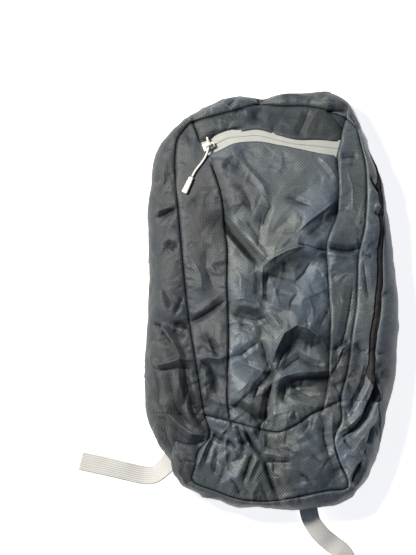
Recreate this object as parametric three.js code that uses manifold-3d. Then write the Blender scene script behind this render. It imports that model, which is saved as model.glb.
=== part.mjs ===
// A light packable backpack, empty and lying on its back, in millimetres with +Z up.
// Its top points along +Y and its front, with the zipped pocket, faces up.
// The shell is thin cloth cut into panels that are sewn edge to edge. A gusset runs round it from the
// front seam, over the rim, to the back seam, and carries the main zip. The shoulder straps, their
// buckles and the light webbing lie between the back panel and whatever the bag rests on.
// The tables are about the middle of the bag; the origin is the middle of the whole footprint.
import * as THREE from "three";
import { mergeVertices } from "three/addons/utils/BufferGeometryUtils.js";
import Module from "manifold-3d";

const wasm = await Module();
wasm.setup();

// The bag as it lies
const BAG_LENGTH = 450;
const BAG_WIDTH = 270;
const BAG_DEPTH = 62;
const CLOTH = 1.2;
const SEAM_GAP = 0.44;
const BACK_SEAM_INSET = 14;

// The gusset and its zip
const MAIN_ZIP_WIDTH = 8;
const MAIN_ZIP_RECESS = 1.2;
const MAIN_SLIDER_LENGTH = 13;
const MAIN_SLIDER_WIDTH = 6;
const MAIN_SLIDER_HEIGHT = 2.4;

// The pocket zip
const COIL_WIDTH = 4;
const COIL_HEIGHT = 1;
const SLIDER_LENGTH = 13;
const SLIDER_WIDTH = 8.5;
const SLIDER_HEIGHT = 2;
const BAIL_WIDTH = 3;
const BAIL_HEIGHT = 5.4;
const BAIL_WALL = 1;
const PULL_CORD_DIAMETER = 2.4;
const GRIP_LENGTH = 19;
const GRIP_TOP_WIDTH = 5;
const GRIP_FOOT_WIDTH = 6.6;
const GRIP_HEIGHT = 4;
const CLEARANCE = 0.3;

// The straps
const STRAP_HEIGHT = 5;
const STRAP_TOP_WIDTH = 46;
const STRAP_MIDDLE_WIDTH = 54;
const STRAP_FOOT_WIDTH = 25;
const WEBBING_WIDTH = 20;
const WEBBING_HEIGHT = 1.3;
const BUCKLE_RAIL = 3;
const BUCKLE_BAR = 4;
const BUCKLE_SLOT = 5;
const HANDLE_WIDTH = 16;

const halfLength = BAG_LENGTH / 2;
const halfWidth = BAG_WIDTH / 2;
const backLift = STRAP_HEIGHT + CLEARANCE;

// Stations round the bag, clockwise from the top left corner as seen from the front. Plan places are
// shares of half the width and half the length, rim heights are shares of the depth, and the zip's
// place is its angle round the gusset's section, from 0 at the front seam to 180 at the back seam.
const STATIONS = [
  { seamX: -0.64, seamY: 0.86, rimX: -0.69, rimY: 0.88, rimHeight: 0.38, zip: 104 },
  { seamX: -0.47, seamY: 0.89, rimX: -0.52, rimY: 0.93, rimHeight: 0.38, zip: 104 },
  { seamX: -0.28, seamY: 0.92, rimX: -0.32, rimY: 0.98, rimHeight: 0.4, zip: 104 },
  { seamX: -0.1, seamY: 0.95, rimX: -0.11, rimY: 0.98, rimHeight: 0.4, zip: 104 },
  { seamX: 0.09, seamY: 0.94, rimX: 0.09, rimY: 0.99, rimHeight: 0.4, zip: 104 },
  { seamX: 0.27, seamY: 0.94, rimX: 0.27, rimY: 1, rimHeight: 0.4, zip: 104 },
  { seamX: 0.44, seamY: 0.92, rimX: 0.47, rimY: 1, rimHeight: 0.38, zip: 104 },
  { seamX: 0.6, seamY: 0.88, rimX: 0.62, rimY: 0.95, rimHeight: 0.36, zip: 100 },
  { seamX: 0.68, seamY: 0.83, rimX: 0.71, rimY: 0.84, rimHeight: 0.35, zip: 92 },
  { seamX: 0.72, seamY: 0.74, rimX: 0.77, rimY: 0.74, rimHeight: 0.34, zip: 78 },
  { seamX: 0.75, seamY: 0.66, rimX: 0.83, rimY: 0.66, rimHeight: 0.33, zip: 62 },
  { seamX: 0.76, seamY: 0.53, rimX: 0.89, rimY: 0.53, rimHeight: 0.32, zip: 46 },
  { seamX: 0.74, seamY: 0.34, rimX: 0.95, rimY: 0.34, rimHeight: 0.32, zip: 40 },
  { seamX: 0.69, seamY: 0.21, rimX: 0.97, rimY: 0.21, rimHeight: 0.32, zip: 39 },
  { seamX: 0.68, seamY: 0.09, rimX: 0.98, rimY: 0.09, rimHeight: 0.32, zip: 36 },
  { seamX: 0.67, seamY: -0.03, rimX: 1, rimY: -0.03, rimHeight: 0.32, zip: 31 },
  { seamX: 0.63, seamY: -0.19, rimX: 1, rimY: -0.19, rimHeight: 0.32, zip: 27 },
  { seamX: 0.6, seamY: -0.34, rimX: 0.98, rimY: -0.35, rimHeight: 0.32, zip: 28 },
  { seamX: 0.54, seamY: -0.49, rimX: 0.93, rimY: -0.49, rimHeight: 0.32, zip: 46 },
  { seamX: 0.55, seamY: -0.58, rimX: 0.89, rimY: -0.59, rimHeight: 0.32, zip: 60 },
  { seamX: 0.49, seamY: -0.67, rimX: 0.85, rimY: -0.68, rimHeight: 0.31, zip: 74 },
  { seamX: 0.52, seamY: -0.76, rimX: 0.8, rimY: -0.77, rimHeight: 0.3, zip: 86 },
  { seamX: 0.6, seamY: -0.9, rimX: 0.67, rimY: -0.91, rimHeight: 0.29, zip: 94 },
  { seamX: 0.43, seamY: -0.92, rimX: 0.5, rimY: -0.97, rimHeight: 0.29, zip: 96 },
  { seamX: 0.19, seamY: -0.95, rimX: 0.22, rimY: -0.99, rimHeight: 0.29, zip: 96 },
  { seamX: -0.04, seamY: -0.97, rimX: -0.04, rimY: -1, rimHeight: 0.29, zip: 96 },
  { seamX: -0.26, seamY: -0.96, rimX: -0.28, rimY: -0.99, rimHeight: 0.29, zip: 96 },
  { seamX: -0.46, seamY: -0.92, rimX: -0.49, rimY: -0.95, rimHeight: 0.29, zip: 96 },
  { seamX: -0.64, seamY: -0.87, rimX: -0.7, rimY: -0.89, rimHeight: 0.3, zip: 96 },
  { seamX: -0.62, seamY: -0.81, rimX: -0.79, rimY: -0.81, rimHeight: 0.32, zip: 98 },
  { seamX: -0.59, seamY: -0.73, rimX: -0.86, rimY: -0.73, rimHeight: 0.34, zip: 100 },
  { seamX: -0.5, seamY: -0.66, rimX: -0.93, rimY: -0.65, rimHeight: 0.36, zip: 104 },
  { seamX: -0.54, seamY: -0.56, rimX: -0.98, rimY: -0.55, rimHeight: 0.38, zip: 108 },
  { seamX: -0.57, seamY: -0.46, rimX: -1, rimY: -0.44, rimHeight: 0.4, zip: 110 },
  { seamX: -0.61, seamY: -0.31, rimX: -1, rimY: -0.3, rimHeight: 0.4, zip: 112 },
  { seamX: -0.66, seamY: -0.13, rimX: -0.99, rimY: -0.13, rimHeight: 0.4, zip: 112 },
  { seamX: -0.7, seamY: 0.08, rimX: -0.98, rimY: 0.08, rimHeight: 0.4, zip: 112 },
  { seamX: -0.74, seamY: 0.34, rimX: -0.98, rimY: 0.34, rimHeight: 0.4, zip: 112 },
  { seamX: -0.77, seamY: 0.54, rimX: -0.97, rimY: 0.54, rimHeight: 0.4, zip: 112 },
  { seamX: -0.78, seamY: 0.68, rimX: -0.93, rimY: 0.68, rimHeight: 0.4, zip: 110 },
  { seamX: -0.76, seamY: 0.77, rimX: -0.87, rimY: 0.77, rimHeight: 0.39, zip: 108 },
  { seamX: -0.71, seamY: 0.82, rimX: -0.78, rimY: 0.83, rimHeight: 0.38, zip: 106 },
];

// Where the panels' corners meet the front seam, as station numbers
const TOP_LEFT = 0;
const TOP_RIGHT = 7;
const ZIP_END_RIGHT = 18;
const CURVE_RIGHT = 18;
const BASE_RIGHT = 22;
const BASE_LEFT = 28;
const CURVE_LEFT = 32;
const STATION_COUNT = STATIONS.length;

// Seams inside the front, each from left to right or from top to bottom, as shares like the stations'
const YOKE_LEFT = [{ x: -0.64, y: 0.86 }, { x: -0.61, y: 0.82 }, { x: -0.58, y: 0.76 }];
const YOKE_RIGHT = [{ x: 0.6, y: 0.88 }, { x: 0.57, y: 0.83 }, { x: 0.55, y: 0.76 }];
const ZIP_UPPER_EDGE = [
  { x: -0.58, y: 0.76 },
  { x: -0.48, y: 0.78 },
  { x: -0.37, y: 0.81 },
  { x: -0.25, y: 0.81 },
  { x: -0.12, y: 0.82 },
  { x: 0.05, y: 0.79 },
  { x: 0.19, y: 0.77 },
  { x: 0.37, y: 0.77 },
  { x: 0.55, y: 0.76 },
];
const ZIP_LOWER_EDGE = [
  { x: -0.52, y: 0.69 },
  { x: -0.41, y: 0.72 },
  { x: -0.3, y: 0.75 },
  { x: -0.13, y: 0.76 },
  { x: 0.07, y: 0.74 },
  { x: 0.23, y: 0.72 },
  { x: 0.39, y: 0.7 },
  { x: 0.52, y: 0.69 },
];
const POCKET_LEFT = [
  { x: -0.52, y: 0.69 },
  { x: -0.45, y: 0.59 },
  { x: -0.4, y: 0.48 },
  { x: -0.38, y: 0.34 },
  { x: -0.36, y: 0.24 },
  { x: -0.36, y: 0.05 },
  { x: -0.35, y: -0.12 },
  { x: -0.35, y: -0.25 },
  { x: -0.36, y: -0.38 },
  { x: -0.36, y: -0.48 },
  { x: -0.34, y: -0.59 },
];
const POCKET_RIGHT = [
  { x: 0.52, y: 0.69 },
  { x: 0.53, y: 0.59 },
  { x: 0.53, y: 0.48 },
  { x: 0.51, y: 0.39 },
  { x: 0.45, y: 0.3 },
  { x: 0.43, y: 0.24 },
  { x: 0.44, y: 0.13 },
  { x: 0.45, y: 0 },
  { x: 0.46, y: -0.12 },
  { x: 0.45, y: -0.26 },
  { x: 0.44, y: -0.39 },
  { x: 0.4, y: -0.53 },
];
const CURVE_SEAM_LEFT = [{ x: -0.54, y: -0.56 }, { x: -0.44, y: -0.575 }, { x: -0.34, y: -0.59 }];
const CURVE_SEAM_MIDDLE = [
  { x: -0.34, y: -0.59 },
  { x: -0.21, y: -0.61 },
  { x: -0.08, y: -0.63 },
  { x: 0.06, y: -0.64 },
  { x: 0.18, y: -0.61 },
  { x: 0.3, y: -0.56 },
  { x: 0.4, y: -0.53 },
];
const CURVE_SEAM_RIGHT = [{ x: 0.4, y: -0.53 }, { x: 0.475, y: -0.51 }, { x: 0.54, y: -0.49 }];

// The main folds of the slack cloth: straight ridges and, where the rise is negative, valleys.
// Places are shares as above, the spread is a share of half the width and the rise one of the depth.
const FOLDS = [
  { x0: -0.4, y0: 0.37, x1: -0.09, y1: 0.17, spread: 0.08, rise: -0.11 },
  { x0: -0.08, y0: 0.19, x1: 0.42, y1: 0.28, spread: 0.11, rise: 0.1 },
  { x0: -0.02, y0: 0.1, x1: 0.41, y1: 0.19, spread: 0.08, rise: -0.09 },
  { x0: 0.36, y0: 0.31, x1: 0.53, y1: 0.43, spread: 0.09, rise: -0.08 },
  { x0: -0.08, y0: 0.06, x1: -0.05, y1: -0.6, spread: 0.07, rise: -0.12 },
  { x0: 0.03, y0: -0.12, x1: 0.42, y1: -0.09, spread: 0.12, rise: 0.08 },
  { x0: 0.05, y0: -0.25, x1: 0.4, y1: -0.22, spread: 0.11, rise: -0.08 },
  { x0: 0, y0: -0.4, x1: 0.42, y1: -0.35, spread: 0.08, rise: 0.07 },
  { x0: 0, y0: -0.48, x1: 0.4, y1: -0.43, spread: 0.08, rise: -0.08 },
  { x0: -0.33, y0: 0.05, x1: -0.11, y1: -0.08, spread: 0.1, rise: 0.06 },
  { x0: -0.32, y0: -0.1, x1: -0.09, y1: -0.12, spread: 0.07, rise: -0.06 },
  { x0: -0.3, y0: -0.22, x1: -0.09, y1: -0.24, spread: 0.09, rise: 0.06 },
  { x0: -0.08, y0: -0.65, x1: 0.03, y1: -0.93, spread: 0.08, rise: -0.1 },
  { x0: -0.28, y0: -0.68, x1: -0.3, y1: -0.85, spread: 0.09, rise: 0.07 },
  { x0: 0.22, y0: -0.68, x1: 0.36, y1: -0.86, spread: 0.12, rise: 0.07 },
  { x0: -0.49, y0: -0.65, x1: -0.36, y1: -0.74, spread: 0.09, rise: -0.1 },
  { x0: 0.49, y0: -0.67, x1: 0.53, y1: -0.82, spread: 0.08, rise: -0.11 },
  { x0: -0.92, y0: -0.13, x1: -0.66, y1: -0.13, spread: 0.07, rise: -0.07 },
  { x0: 0.43, y0: 0.24, x1: 0.68, y1: 0.22, spread: 0.07, rise: -0.07 },
  { x0: -0.55, y0: 0.93, x1: -0.1, y1: 0.95, spread: 0.07, rise: 0.05 },
  { x0: 0.1, y0: 0.96, x1: 0.55, y1: 0.95, spread: 0.07, rise: 0.06 },
  { x0: -0.12, y0: 0.88, x1: -0.06, y1: 0.98, spread: 0.05, rise: -0.09 },
];

// How many flat facets each panel has along its edges
const TOP_FACETS = 16;
const YOKE_FACETS = 3;
const ZIP_FACETS = 2;
const POCKET_FACETS = 19;
const SIDE_PANEL_FACETS = 3;
const LOWER_FACETS = 7;
const GUSSET_FACETS = 4;
const BASE_FACETS = 8;
const sideFacets = YOKE_FACETS + ZIP_FACETS + POCKET_FACETS;
const baseSeamFacets = TOP_FACETS + 2 * SIDE_PANEL_FACETS;

// How the front falls away from its crown, as shares of the depth
const CROWN_SIDES = 0.28;
const CROWN_TOP = 0.5;
const CROWN_BASE = 0.42;

function inPlan({ x, y }) {
  return new THREE.Vector3(x * halfWidth, y * halfLength, 0);
}

function smoothStep(share) {
  const s = THREE.MathUtils.clamp(share, 0, 1);
  return s * s * (3 - 2 * s);
}

// Height of the front without its folds
function frontHeight(x, y) {
  const across = Math.abs(x / halfWidth);
  const along = Math.abs(y / halfLength);
  const fall = y > 0 ? CROWN_TOP : CROWN_BASE;
  return BAG_DEPTH * (1 - CROWN_SIDES * across ** 2) * (1 - fall * along ** 4);
}

function foldRise(x, y) {
  let rise = 0;
  for (const fold of FOLDS) {
    const ax = fold.x0 * halfWidth;
    const ay = fold.y0 * halfLength;
    const bx = fold.x1 * halfWidth;
    const by = fold.y1 * halfLength;
    const span = (bx - ax) ** 2 + (by - ay) ** 2;
    const share = THREE.MathUtils.clamp(((x - ax) * (bx - ax) + (y - ay) * (by - ay)) / span, 0, 1);
    const away = Math.hypot(x - ax - share * (bx - ax), y - ay - share * (by - ay));
    rise += fold.rise * BAG_DEPTH * Math.exp(-((away / (fold.spread * halfWidth)) ** 2));
  }
  return rise;
}

// A point of the cloth's outer face and the direction from there to its inner face
function frontPoint(x, y) {
  return {
    outer: new THREE.Vector3(x, y, frontHeight(x, y) + foldRise(x, y)),
    inward: new THREE.Vector3(0, 0, -1),
  };
}

// Splits a stretch of a curve into parts of equal length, and gives the curve's values at them
function evenValues(curve, from, to, parts) {
  const steps = 240;
  const travelled = [0];
  let before = curve.getPoint(from);
  for (let i = 1; i <= steps; i++) {
    const here = curve.getPoint(from + ((to - from) * i) / steps);
    travelled.push(travelled[i - 1] + here.distanceTo(before));
    before = here;
  }
  const values = [];
  for (let part = 0, i = 0; part <= parts; part++) {
    const wanted = (travelled[steps] * part) / parts;
    while (i < steps - 1 && travelled[i + 1] < wanted) i++;
    const inside = (wanted - travelled[i]) / (travelled[i + 1] - travelled[i]);
    values.push(from + ((to - from) * (i + inside)) / steps);
  }
  return values;
}

function seamPoints(places, parts) {
  const curve = new THREE.CatmullRomCurve3(places.map(inPlan), false, "centripetal");
  return evenValues(curve, 0, 1, parts).map((value) => curve.getPoint(value));
}

const seamCurve = new THREE.CatmullRomCurve3(
  STATIONS.map((s) => inPlan({ x: s.seamX, y: s.seamY })),
  true,
  "centripetal",
);
const rimCurve = new THREE.CatmullRomCurve3(
  STATIONS.map((s) => inPlan({ x: s.rimX, y: s.rimY })),
  true,
  "centripetal",
);

// A column of the stations' table at a place between two stations
function between(column, place) {
  const low = Math.floor(place);
  const here = STATIONS[low % STATION_COUNT][column];
  const next = STATIONS[(low + 1) % STATION_COUNT][column];
  return here + (next - here) * smoothStep(place - low);
}

// The places round the bag where every panel on the front seam has its corners
function stretch(from, to, parts) {
  const values = evenValues(seamCurve, from / STATION_COUNT, to / STATION_COUNT, parts);
  return values.map((value) => value * STATION_COUNT);
}
const topPlaces = stretch(TOP_LEFT, TOP_RIGHT, TOP_FACETS);
const rightPlaces = stretch(TOP_RIGHT, CURVE_RIGHT, sideFacets);
const lowerRightPlaces = stretch(CURVE_RIGHT, BASE_RIGHT, LOWER_FACETS);
const basePlaces = stretch(BASE_RIGHT, BASE_LEFT, baseSeamFacets);
const lowerLeftPlaces = stretch(BASE_LEFT, CURVE_LEFT, LOWER_FACETS);
const leftPlaces = stretch(CURVE_LEFT, STATION_COUNT, sideFacets);

function onSeam(place) {
  return seamCurve.getPoint((place / STATION_COUNT) % 1);
}

// The gusset's section at a place round the bag: a quarter ellipse out to the rim, and one back in
function gussetSection(place) {
  const at = (place / STATION_COUNT) % 1;
  const seam = seamCurve.getPoint(at);
  const rim = rimCurve.getPoint(at);
  const along = rimCurve.getTangent(at).setZ(0).normalize();
  const inside = new THREE.Vector3(along.y, -along.x, 0);
  const back = rim.clone().addScaledVector(inside, BACK_SEAM_INSET);
  const out = rim.clone().sub(seam).normalize();
  return { seam, rim, back, out, rimHeight: between("rimHeight", place) * BAG_DEPTH };
}

const FOLDS_FADE_FROM = 60;
const FOLDS_FADE_OVER = 40;

function gussetPoint(place, angle) {
  const { seam, rim, back, out, rimHeight } = gussetSection(place);
  const turn = THREE.MathUtils.degToRad(angle);
  const point = new THREE.Vector3();
  if (angle <= 90) {
    const seamHeight = frontHeight(seam.x, seam.y);
    point.lerpVectors(seam, rim, Math.sin(turn));
    point.z = rimHeight + (seamHeight - rimHeight) * Math.cos(turn);
  } else {
    point.lerpVectors(rim, back, 1 - Math.sin(turn));
    point.z = rimHeight + (rimHeight - backLift) * Math.cos(turn);
  }
  const inward = out.clone().multiplyScalar(-Math.sin(turn)).setZ(-Math.cos(turn));
  const faded = 1 - smoothStep((angle - FOLDS_FADE_FROM) / FOLDS_FADE_OVER);
  point.addScaledVector(inward, -foldRise(point.x, point.y) * faded);
  return { outer: point, inward };
}

// Half the angle that a width of the gusset's cloth takes at a place round the bag
function halfAngle(place, width) {
  const { seam, rim, rimHeight } = gussetSection(place);
  const quarter = Math.hypot(seam.distanceTo(rim), frontHeight(seam.x, seam.y) - rimHeight) * 1.11;
  return ((width / 2) * 90) / quarter;
}

function zipIsAt(place) {
  return place <= ZIP_END_RIGHT || place >= CURVE_LEFT;
}

function zipHalfAngle(place) {
  return halfAngle(place, zipIsAt(place) ? MAIN_ZIP_WIDTH : SEAM_GAP);
}

// A closed sheet from a grid of points on its outer face, each with the way to its inner face
function closedSheet(rows, thickness = CLOTH) {
  const across = rows[0].length;
  const corners = [];
  for (const row of rows) {
    for (const { outer, inward } of row) {
      corners.push(outer, outer.clone().addScaledVector(inward, thickness));
    }
  }
  const outerAt = (r, c) => 2 * (r * across + c);
  const innerAt = (r, c) => outerAt(r, c) + 1;
  const faces = [];
  const quad = (a, b, c, d) => faces.push(a, b, c, a, c, d);
  const lastRow = rows.length - 1;
  const lastColumn = across - 1;
  for (let r = 0; r < lastRow; r++) {
    for (let c = 0; c < lastColumn; c++) {
      quad(outerAt(r, c), outerAt(r, c + 1), outerAt(r + 1, c + 1), outerAt(r + 1, c));
      quad(innerAt(r, c), innerAt(r + 1, c), innerAt(r + 1, c + 1), innerAt(r, c + 1));
    }
  }
  for (let c = 0; c < lastColumn; c++) {
    quad(outerAt(0, c), innerAt(0, c), innerAt(0, c + 1), outerAt(0, c + 1));
    quad(outerAt(lastRow, c), outerAt(lastRow, c + 1), innerAt(lastRow, c + 1), innerAt(lastRow, c));
  }
  for (let r = 0; r < lastRow; r++) {
    quad(outerAt(r, 0), outerAt(r + 1, 0), innerAt(r + 1, 0), innerAt(r, 0));
    quad(outerAt(r, lastColumn), innerAt(r, lastColumn), innerAt(r + 1, lastColumn), outerAt(r + 1, lastColumn));
  }
  return facingOut(corners, faces);
}

// The geometry of a closed body, turned right way out
function facingOut(corners, faces) {
  let volume = 0;
  for (let i = 0; i < faces.length; i += 3) {
    const [a, b, c] = [corners[faces[i]], corners[faces[i + 1]], corners[faces[i + 2]]];
    volume += a.dot(new THREE.Vector3().crossVectors(b, c));
  }
  const index = [...faces];
  for (let i = 0; volume < 0 && i < index.length; i += 3) {
    [index[i + 1], index[i + 2]] = [index[i + 2], index[i + 1]];
  }
  const geometry = new THREE.BufferGeometry().setFromPoints(corners);
  geometry.setIndex(index);
  geometry.computeVertexNormals();
  return geometry;
}

// Draws a grid's edges in by half the seam's gap, so that sewn neighbours stay apart
function trimmed(rows) {
  const pulled = (from, towards) => {
    const step = towards.outer.clone().sub(from.outer).setLength(SEAM_GAP / 2);
    return { outer: from.outer.clone().add(step), inward: from.inward };
  };
  const narrowed = rows.map((row) => {
    const last = row.length - 1;
    return [pulled(row[0], row[1]), ...row.slice(1, last), pulled(row[last], row[last - 1])];
  });
  const last = narrowed.length - 1;
  return [
    narrowed[0].map((point, c) => pulled(point, narrowed[1][c])),
    ...narrowed.slice(1, last),
    narrowed[last].map((point, c) => pulled(point, narrowed[last - 1][c])),
  ];
}

// Fills four seams, each a list of plan points, with a grid of plan points
function fillSeams(top, base, left, right) {
  const columns = top.length - 1;
  const lines = left.length - 1;
  return left.map((leftPoint, r) =>
    top.map((topPoint, c) => {
      const u = c / columns;
      const v = r / lines;
      const point = new THREE.Vector3();
      point.addScaledVector(topPoint, 1 - v).addScaledVector(base[c], v);
      point.addScaledVector(leftPoint, 1 - u).addScaledVector(right[r], u);
      point.addScaledVector(top[0], -(1 - u) * (1 - v)).addScaledVector(top[columns], -u * (1 - v));
      point.addScaledVector(base[0], -(1 - u) * v).addScaledVector(base[columns], -u * v);
      return point;
    }),
  );
}

function frontPanel(top, base, left, right) {
  const plan = fillSeams(top, base, left, right);
  return closedSheet(trimmed(plan.map((row) => row.map((p) => frontPoint(p.x, p.y)))));
}

// A band of the gusset between two angles, each a function of the place round the bag
function gussetBand(places, fromAngle, toAngle, facets, recess = () => 0) {
  const rows = places.map((place) =>
    Array.from({ length: facets + 1 }, (_, i) => {
      const share = i / facets;
      const angle = fromAngle(place) + (toAngle(place) - fromAngle(place)) * share;
      const { outer, inward } = gussetPoint(place, angle);
      return { outer: outer.addScaledVector(inward, recess(share)), inward };
    }),
  );
  return closedSheet(trimmed(rows));
}

// The seams of the front as lists of plan points that neighbours share
const topSeam = topPlaces.map(onSeam);
const rightSeam = rightPlaces.map(onSeam);
const lowerRightSeam = lowerRightPlaces.map(onSeam);
const baseSeam = basePlaces.map(onSeam).reverse();
const lowerLeftSeam = lowerLeftPlaces.map(onSeam).reverse();
const leftSeam = leftPlaces.map(onSeam).reverse();
const yokeLeft = seamPoints(YOKE_LEFT, YOKE_FACETS);
const yokeRight = seamPoints(YOKE_RIGHT, YOKE_FACETS);
const zipUpper = seamPoints(ZIP_UPPER_EDGE, TOP_FACETS);
const zipLower = seamPoints(ZIP_LOWER_EDGE, TOP_FACETS);
const zipMiddle = zipUpper.map((point, i) => point.clone().lerp(zipLower[i], 0.5));
const pocketLeft = seamPoints(POCKET_LEFT, POCKET_FACETS);
const pocketRight = seamPoints(POCKET_RIGHT, POCKET_FACETS);
const curveLeft = seamPoints(CURVE_SEAM_LEFT, SIDE_PANEL_FACETS);
const curveMiddle = seamPoints(CURVE_SEAM_MIDDLE, TOP_FACETS);
const curveRight = seamPoints(CURVE_SEAM_RIGHT, SIDE_PANEL_FACETS);

function straightPoints(from, to, parts) {
  return Array.from({ length: parts + 1 }, (_, i) => from.clone().lerp(to, i / parts));
}

// The side panels end just short of the yoke's corners, where they would come to a point
const APEX_SHARE = 0.35;
function withBluntApex(seam) {
  return [seam[0].clone().lerp(seam[1], APEX_SHARE), ...seam.slice(1)];
}

function yoke() {
  return frontPanel(topSeam, zipUpper, yokeLeft, yokeRight);
}

function pocketPanel() {
  return frontPanel(zipLower, curveMiddle, pocketLeft, pocketRight);
}

function sidePanelLeft() {
  const outerSeam = withBluntApex(leftSeam);
  const innerSeam = withBluntApex([...yokeLeft, zipMiddle[0], ...pocketLeft]);
  const apex = straightPoints(outerSeam[0], innerSeam[0], SIDE_PANEL_FACETS);
  return frontPanel(apex, curveLeft, outerSeam, innerSeam);
}

function sidePanelRight() {
  const outerSeam = withBluntApex(rightSeam);
  const innerSeam = withBluntApex([...yokeRight, zipMiddle[TOP_FACETS], ...pocketRight]);
  const apex = straightPoints(innerSeam[0], outerSeam[0], SIDE_PANEL_FACETS);
  return frontPanel(apex, curveRight, innerSeam, outerSeam);
}

function lowerPanel() {
  const curve = [...curveLeft, ...curveMiddle.slice(1), ...curveRight.slice(1)];
  return frontPanel(curve, baseSeam, lowerLeftSeam, lowerRightSeam);
}

function zipTape(upperEdge, lowerEdge) {
  const ends = (i) => [upperEdge[i], lowerEdge[i]];
  return frontPanel(upperEdge, lowerEdge, ends(0), ends(TOP_FACETS));
}

function zipCoil() {
  const under = CLOTH + CLEARANCE;
  const rows = zipMiddle.slice(1, -1).map((middle, i) => {
    const across = zipUpper[i + 1].clone().sub(zipLower[i + 1]).setLength(COIL_WIDTH / 2);
    return [1, -1].map((side) => {
      const at = middle.clone().addScaledVector(across, side);
      const { outer, inward } = frontPoint(at.x, at.y);
      const centre = frontPoint(middle.x, middle.y).outer.z;
      outer.z = Math.min(outer.z, centre) - under;
      return { outer, inward };
    });
  });
  return closedSheet(rows, COIL_HEIGHT);
}

const zipEdge = (side) => (place) => between("zip", place) + side * zipHalfAngle(place);
const frontSeamAngle = () => 0;
const backSeamAngle = () => 180;

function gussetFront(places) {
  return gussetBand(places, frontSeamAngle, zipEdge(-1), GUSSET_FACETS);
}

function gussetBack(places) {
  return gussetBand(places, zipEdge(1), backSeamAngle, GUSSET_FACETS);
}

function mainZip() {
  const places = [...leftPlaces, ...topPlaces.slice(1), ...rightPlaces.slice(1)];
  const recess = (share) => MAIN_ZIP_RECESS * (1 - Math.abs(2 * share - 1));
  return gussetBand(places, zipEdge(-1), zipEdge(1), 2, recess);
}

function base() {
  return gussetBand(basePlaces, frontSeamAngle, backSeamAngle, BASE_FACETS);
}

// The back panel lies flat on the straps. Its outline is the gusset's back seam.
function backPanel() {
  const round = [topPlaces, rightPlaces, lowerRightPlaces, basePlaces, lowerLeftPlaces, leftPlaces];
  const outline = round.flatMap((places) => places.slice(1)).map((place) => {
    const { rim, back } = gussetSection(place);
    const step = back.clone().sub(rim).setLength(SEAM_GAP / 2);
    return new THREE.Vector2(back.x + step.x, back.y + step.y);
  });
  return slab(new THREE.Shape(outline), backLift, CLOTH);
}

// A flat plate of a plan outline, from a height upwards
function slab(shape, height, thickness) {
  const geometry = new THREE.ExtrudeGeometry(shape, {
    depth: thickness,
    bevelEnabled: false,
    curveSegments: 5,
  });
  return geometry.translate(0, 0, height);
}

// A shoulder strap's centre line from the top down, with the strap's width at each place
const STRAP_LINE = [
  { x: 0.24, y: 0.86, width: STRAP_TOP_WIDTH },
  { x: 0.3, y: 0.7, width: STRAP_TOP_WIDTH },
  { x: 0.37, y: 0.5, width: STRAP_MIDDLE_WIDTH },
  { x: 0.42, y: 0.3, width: STRAP_MIDDLE_WIDTH },
  { x: 0.42, y: 0.1, width: STRAP_MIDDLE_WIDTH },
  { x: 0.39, y: -0.08, width: STRAP_MIDDLE_WIDTH },
  { x: 0.35, y: -0.22, width: STRAP_MIDDLE_WIDTH },
  { x: 0.32, y: -0.31, width: STRAP_FOOT_WIDTH },
];

function strapShape(side) {
  const centres = STRAP_LINE.map(({ x, y }) => new THREE.Vector2(side * x * halfWidth, y * halfLength));
  const edge = (hand) =>
    centres.map((centre, i) => {
      const before = centres[Math.max(i - 1, 0)];
      const after = centres[Math.min(i + 1, centres.length - 1)];
      const across = after.clone().sub(before).normalize().rotateAround(new THREE.Vector2(), Math.PI / 2);
      return centre.clone().addScaledVector(across, (hand * STRAP_LINE[i].width) / 2);
    });
  const shape = new THREE.Shape();
  const [right, left] = [edge(1), edge(-1).reverse()];
  shape.moveTo(right[0].x, right[0].y);
  shape.splineThru(right.slice(1));
  shape.lineTo(left[0].x, left[0].y);
  shape.splineThru(left.slice(1));
  return new THREE.Shape(shape.getPoints(2));
}

// The end of a strap's line, and the way on from there
function strapFoot(side) {
  const [before, last] = STRAP_LINE.slice(-2).map(({ x, y }) => inPlan({ x: side * x, y }));
  return { foot: last, onward: last.clone().sub(before).normalize() };
}

// A band of webbing through places, each with its middle, the heading of its right-hand edge in
// degrees, and how far the band rolls about its own line there
function ribbon(places, width, thickness = WEBBING_HEIGHT) {
  const rows = places.map(({ middle, side, roll = 0 }, i) => {
    const before = places[Math.max(i - 1, 0)].middle;
    const after = places[Math.min(i + 1, places.length - 1)].middle;
    const heading = THREE.MathUtils.degToRad(side);
    const lean = THREE.MathUtils.degToRad(roll);
    const edge = new THREE.Vector3(Math.cos(heading), Math.sin(heading), 0).multiplyScalar(Math.cos(lean));
    edge.z = Math.sin(lean);
    const onward = after.clone().sub(before).normalize();
    const inward = onward.clone().cross(edge).normalize();
    return [1, -1].map((hand) => {
      const outer = middle.clone().addScaledVector(edge, (hand * width) / 2);
      return { outer: outer.addScaledVector(inward, -thickness / 2), inward };
    });
  });
  return closedSheet(rows, thickness);
}

// Heights of the webbing's middle where it lies on the floor, and where it lies on a buckle's bar
const lowRun = WEBBING_HEIGHT / 2;
const highRun = STRAP_HEIGHT - WEBBING_HEIGHT / 2;
const barHeight = STRAP_HEIGHT - 2 * WEBBING_HEIGHT - 2 * CLEARANCE;
const barLow = WEBBING_HEIGHT + CLEARANCE;
const turnRadius = (highRun - lowRun) / 2;
const BUCKLE_TURN_STEPS = 6;

// A half turn of webbing about a bar, from the low run to the high one, bulging to one side
function turnAbout(centre, direction, side) {
  const reach = BUCKLE_BAR / 2 - CLEARANCE;
  return Array.from({ length: BUCKLE_TURN_STEPS + 1 }, (_, i) => {
    const angle = -Math.PI / 2 + (Math.PI * i) / BUCKLE_TURN_STEPS;
    const middle = centre.clone().addScaledVector(direction, reach + turnRadius * Math.cos(angle));
    middle.z = lowRun + turnRadius * (1 + Math.sin(angle));
    return { middle, side };
  });
}

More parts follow.
